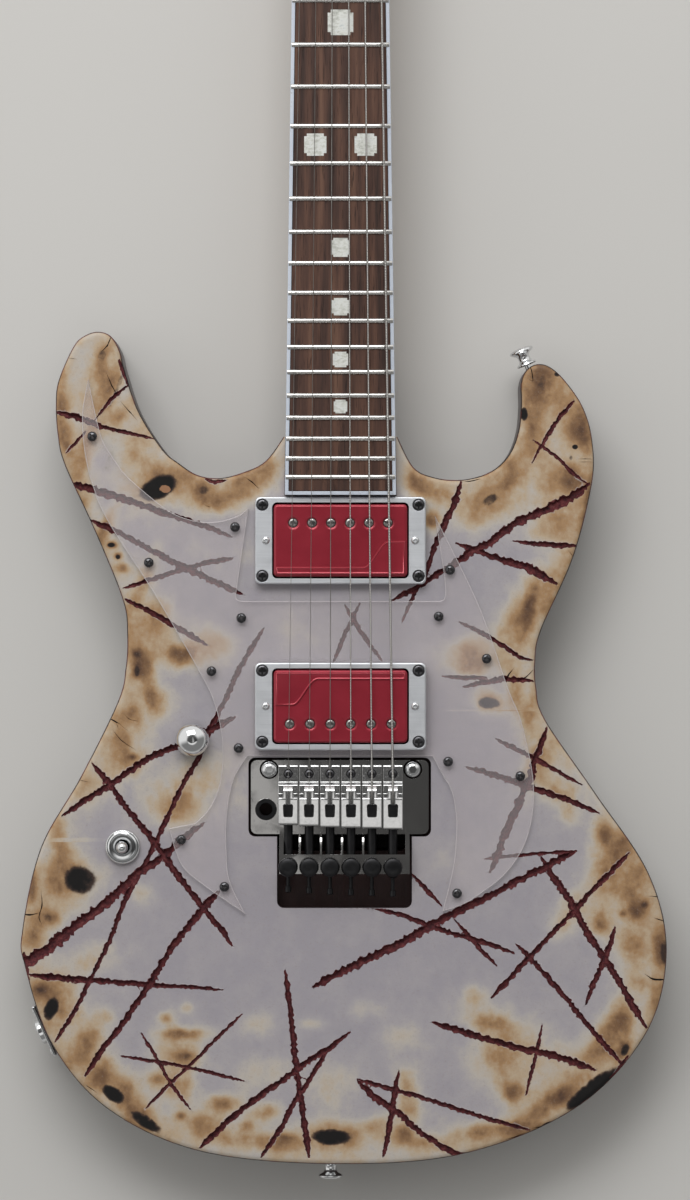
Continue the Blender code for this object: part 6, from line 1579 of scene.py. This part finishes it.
def saddle_back(number):
    """Rear face of a saddle, where its lock screw comes out."""
    return (-18.5 + SADDLE_STAGGER[number - 1]) * MM


def saddle_crest(x):
    """Height of a saddle's crest under its string."""
    return STRING_TOP - crown(x) - GAP


def make_saddles():
    """Six saddles, each with its clamp block, its lock screw and its fixing screw."""
    clamps = []
    locks = []
    fixings = []
    for number in range(1, 7):
        x = string_x(number, STRING_PITCH)
        crest = saddle_crest(x)
        show(f"saddle_body_{number}", saddle_shape(number), "satin", "tremolo",
             [f"saddle_{number}"], 32)
        clamps.append(ease(box(x - 2.1 * MM, -13.3 * MM, crest - 2.9 * MM, x + 2.1 * MM,
                               -7.2 * MM, crest - 1.9 * MM), 0.2 * MM))
        lock = mm((2.36, 0.15), (2.36, 24.6), (1.9, 25), (1, 25.1), (0.96, 31.6), (1.55, 31.8),
                  (1.56, 34.6), (1.2, 34.9))
        locks.append(turned(lock, (x, saddle_back(number), LOCK_SCREW_Z), (0, -1, 0), 24))
        fixings.append((x, SADDLE_SCREW_Y, PLATE_TOP + 2.3 * MM))
        make_fine_tuner(number, x)
    show("string_clamps", merged(*clamps), "black", "tremolo")
    show("lock_screws", merged(*locks), "black", "tremolo", smooth=45)
    show_screws("saddle_screws", 2.45, 1.3, "hex", fixings, "gunmetal", body="tremolo")


def make_tremolo():
    """Polished plate with its arm bush, the block, the studs, the springs and the claw."""
    dress("polished_plate", "trem_baseplate", "nickel", 0.35, 3, 50, "tremolo")
    seat = (*ARM, PLATE_TOP + 1.6 * MM)
    bush = turned(mm((5.5, -2), (5.6, 0.2), (5.2, 0.75), (4.3, 0.8)), seat)
    hole = turned(mm((3.2, -3), (3.2, 0.3), (4, 1.2)), seat)
    show("arm_bush", carve(bush, [hole]), "black", "tremolo")
    dress("sustain_block", "trem_block", "steel", 0.8, 3, body="tremolo")
    make_saddles()
    for number, (x, y) in enumerate(STUDS, 1):
        low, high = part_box(f"pivot_stud_{number}")
        head = head_shape(4.05 * MM, 2 * MM, "hex", 2 * MM)
        bmesh.ops.translate(head, vec=(x, y, high.z - 2 * MM), verts=head.verts)
        shank = turned([(2.6 * MM, low.z), (3 * MM, low.z + 0.6 * MM), (3 * MM, high.z - 3.5 * MM)],
                       (x, y, 0))
        show(f"stud_{number}", merged(head, shank), "chrome", "guitar",
             [f"pivot_stud_{number}"])
    for number, x in enumerate((-17 * MM, 0, 17 * MM), 1):
        piece = show(f"coil_spring_{number}", coil(x), "steel", None,
                     [f"trem_spring_{number}"], 60)
        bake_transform(piece)
    dress("claw", "spring_claw", "steel", 0.5)


def fluted(place, radius, flutes, depth, levels):
    """Round solid with a fluted edge, from pairs of height in millimetres and share of radius."""
    x, y, seat = place
    rings = []
    for height, share in levels:
        loop = []
        for index in range(2 * flutes):
            turn = math.pi * index / flutes
            dip = 1 - depth * (index % 2) if share > 0.94 else 1
            loop.append((x + radius * share * dip * math.cos(turn),
                         y + radius * share * dip * math.sin(turn), seat + height * MM))
        rings.append(loop)
    return stack(rings)


def make_fine_tuner(number, x):
    """Black fine tuner with a fluted edge and a smooth domed face."""
    place = (x, FINE_TUNER_Y, SHELF_TOP + GAP)
    levels = ((0, 0.9), (0.5, 1), (4.3, 1), (4.9, 0.95), (5.4, 0.85), (5.8, 0.66), (6.0, 0.3))
    stem = turned(mm((1.65, -2.6), (1.65, 0.3)), place, sides=20)
    node = f"fine_tuner_{number}"
    show(f"tuning_knob_{number}", merged(fluted(place, 5.1 * MM, 30, 0.045, levels), stem),
         "black", node, [node], 30)


def coil(x):
    """Wound tremolo spring with straight hooked ends."""
    steps = SPRING_TURNS * 12
    path = [Vector((x, -1.5 * MM, SPRING_LEVEL)), Vector((x, 3 * MM, SPRING_LEVEL))]
    for index in range(steps + 1):
        turn = 2 * math.pi * index / 12
        path.append(Vector((x + SPRING_RADIUS * math.cos(turn), 6 * MM + 70 * MM * index / steps,
                            SPRING_LEVEL + SPRING_RADIUS * math.sin(turn))))
    path += [Vector((x, 82 * MM, SPRING_LEVEL)), Vector((x, 87.2 * MM, SPRING_LEVEL))]
    return tube(path, 0.62 * MM, 8)


def tube(path, radius, sides):
    """Round wire along a path."""
    rings = []
    normal = Vector((0, 0, 1))
    for index, here in enumerate(path):
        along = (path[min(len(path) - 1, index + 1)] - path[max(0, index - 1)]).normalized()
        normal = (normal - along * normal.dot(along)).normalized()
        side = along.cross(normal)
        rings.append([here + normal * radius * math.cos(turn) + side * radius * math.sin(turn)
                      for turn in [2 * math.pi * step / sides for step in range(sides)]])
    return stack(rings)


# Controls, jack and strap buttons

def make_controls():
    """Domed volume knob, and a toggle switch with its ribbed nut and chrome lever."""
    seat = TOP + GAP
    radius = 8.75 * MM
    profile = mm((3, -13.5), (3, 2.2)) + [(0.94 * radius, 2.3 * MM), (0.985 * radius, 2.6 * MM),
                                          (radius, 3.2 * MM)]
    profile += dome(radius, 6.9 * MM, 11, 1.3, 5.6 * MM)
    show("domed_knob", turned(profile, (*KNOB, seat), sides=64), "chrome", "volume_knob",
         ["volume_knob"], 50)
    recoat("volume_pot", "steel")

    x, y = SWITCH
    nut = fluted((x, y, seat), 9 * MM, 48, 0.03, ((0, 1), (1.7, 1), (2.2, 0.95), (2.35, 0.9)))
    collar = turned(mm((7.8, 2.3), (7.6, 2.9), (6.9, 3.3), (6.4, 3), (6.2, 3.5), (5, 3.6),
                       (4.2, 3.2), (3.8, 2.6)), (x, y, seat), sides=64)
    nut = carve(nut, [prism(circle(x, y, 3.8 * MM, 48), seat - MM, seat + 5 * MM)])
    collar = carve(collar, [prism(circle(x, y, 3.7 * MM, 48), seat - MM, seat + 5 * MM)])
    show("switch_nut", merged(nut, collar), "chrome", "guitar", ["switch_body"], 30)
    case = box(x - 7 * MM, y - 13 * MM, 19.7 * MM, x + 7 * MM, y + 13 * MM, 37.7 * MM)
    neck = turned([(6 * MM, 37.6 * MM), (6 * MM, seat + MM)], (x, y, 0))
    works = carve(ease(case, 0.8 * MM), [neck], "UNION")
    works = carve(works, [prism(circle(x, y, 3.7 * MM, 48), 37 * MM, 50 * MM)])
    show("switch_works", works, "black", "guitar")
    profile = [(3.3 * MM * math.cos(turn), 3.3 * MM * math.sin(turn))
               for turn in map(math.radians, range(-70, 51, 20))]
    profile += mm((1.3, 3.6), (1.3, 9.8), (2.2, 10.2), (2.9, 11.5))
    profile += dome(3.1 * MM, 3.4 * MM, 8, base=13.5 * MM)
    show("toggle_lever", turned(profile, (x, y, SWITCH_PIVOT_Z)), "chrome", "switch_lever",
         ["switch_lever"], 50)


def make_jack_and_straps():
    """Jack plate with its screws and socket, and the two strap buttons."""
    dress("jack_cover_plate", "jack_plate", "chrome", 0.5, 3)
    spots = []
    for along in (-11.2, 11.2):
        for up in (-9.2, 9.2):
            point = (JACK + JACK_OUTWARDS * 1.8 * MM + JACK_SIDEWAYS * along * MM
                     + Vector((0, 0, up * MM)))
            spots.append(facing(point, JACK_OUTWARDS, along + up))
    show_screws("jack_plate_screws", 1.7, 0.7, "cross", spots, "chrome")
    dress("jack_barrel", "jack_socket", "chrome", 0.25, 2, 40, smooth=40)
    profile = mm((1.6, -20), (1.6, 0.3), (4.9, 0.5), (5.4, 0.9), (5.2, 1.5), (3.7, 2.4),
                 (3.2, 3.6), (3.2, 5.2), (3.8, 6.4), (5.6, 7.3), (6.4, 8.0), (6.4, 8.7),
                 (5.9, 9.3), (4.4, 9.8), (2.4, 10))
    for name, x, y, angle in (("strap_button_horn", 97.6, 220.6, 112.3),
                              ("strap_button_tail", -5.2, -194, -90.0)):
        button = turned(profile, (x * MM, y * MM, 22 * MM), level_direction(angle), 40)
        show(f"{name}_turned", button, "chrome", "guitar", [name], 40)


def make_back():
    """Cover plates, their screws, and the neck screws in the back."""
    for node in ("spring_cover", "control_cover"):
        dress(f"{node}_plate", node, "cover", 0.4)
    spots = [(x, y) for x in (-35.5, 35.5) for y in (-31, 33, 97)]
    spots += [(-64, 44), (-104, 32), (-151, -55), (-130, -133), (-104, -92), (-62, 8)]
    heads = [facing((x, y, 0.5 * MM), DOWNWARDS, x * 900) for x, y in mm(*spots)]
    show_screws("cover_screws", 2, 0.45, "cross", heads, "pole")
    ferrule = turned(mm((6.2, -2.4), (6.3, -0.6), (5.9, -0.1), (5, -0.05)))
    ferrule = carve(ferrule, [turned(mm((3.4, -1.9), (3.5, -1.6), (4.6, 1)))])
    rings = [facing((x, y, 0.3 * MM), DOWNWARDS) for x, y in NECK_SCREWS]
    show("neck_ferrules", repeated(ferrule, rings), "chrome")
    heads = [facing((x, y, 1.6 * MM), DOWNWARDS, 3 * y) for x, y in NECK_SCREWS]
    show_screws("neck_screws", 3.3, 1, "cross", heads, "chrome")


# Stage, light and camera

def make_sky():
    """Sky that is bright towards the headstock and dim in a band over the guitar."""
    world = bpy.data.worlds.new("soft_sky")
    bpy.context.scene.world = world
    world.use_nodes = True
    sky = Tree(world.node_tree)
    direction = sky.node("ShaderNodeTexCoord", output="Generated")
    across, ahead, up = [sky.node("ShaderNodeSeparateXYZ", None, {0: direction}, output=axis)
                         for axis in "XYZ"]
    bright = (ahead - 0.35 * across).step(-0.25, 0.25)
    beside = 1 - across.step(-0.030, -0.022)
    window = (across + 0.35 * ahead).step(-0.029, -0.023)
    behind = (1 - ahead.step(-0.22, -0.10)) * up.step(0.82, 0.92)
    overhead = up.step(0.80, 0.95) * window.top(beside) * (1 - behind)
    level = (0.22 + 0.68 * bright.top(behind)) * (1 - 0.85 * overhead)
    horizon = 1 - up.step(0.1, 0.35)
    strength = level * (1 - horizon) + (0.5 + 0.4 * bright) * horizon
    background = world.node_tree.nodes["Background"]
    world.node_tree.links.new(strength.socket, background.inputs["Strength"])
    background.inputs["Color"].default_value = (1.0, 0.99, 0.97, 1)


def make_stage():
    """Pale floor, the sky and one large lamp."""
    floor = loose(prism(circle(0, 0, 9, 64), -20 * MM, -0.2 * MM), "floor")
    coat = Coat("pale_floor", {"Roughness": 0.8})
    coat.feed("Base Color", coat.mix(coat.noise(2, 3), (0.56, 0.55, 0.53), (0.60, 0.59, 0.57)))
    floor.data.materials.append(coat.material)
    make_sky()
    light = bpy.data.lights.new("soft_lamp", "AREA")
    light.shape = "RECTANGLE"
    light.size = 1.5
    light.size_y = 0.9
    light.energy = 22
    lamp = bpy.data.objects.new("soft_lamp", light)
    lamp.location = (-0.3, 1.35, 1.5)
    beam = Vector((0, 0.02, 0.04)) - lamp.location
    lamp.rotation_euler = beam.to_track_quat("-Z", "Y").to_euler()
    bpy.context.scene.collection.objects.link(lamp)
    bpy.context.scene.view_settings.view_transform = "Standard"


def make_camera():
    """Camera straight above the front, framed as the picture is."""
    middle = photo_point(PICTURE_WIDTH_PX / 2, PICTURE_HEIGHT_PX / 2)
    data = bpy.data.cameras.new("camera")
    data.sensor_width = SENSOR
    data.lens = SENSOR * CAMERA_HEIGHT / (PICTURE_HEIGHT_PX * PIXEL)
    data.clip_end = 50
    camera = bpy.data.objects.new("camera", data)
    camera.location = (middle.x, middle.y, TOP + CAMERA_HEIGHT)
    bpy.context.scene.collection.objects.link(camera)
    bpy.context.scene.camera = camera


make_camera()
make_stage()
make_body()
make_guard()
make_pickup("neck_pickup", NECK_PICKUP_Y, 1, TOP + GAP, 9.8 * MM)
make_pickup("bridge_pickup", BRIDGE_PICKUP_Y, -1, GUARD_TOP + GAP, 10.5 * MM)
make_fretboard()
make_neck()
make_strings()
make_tremolo()
make_controls()
make_jack_and_straps()
make_back()
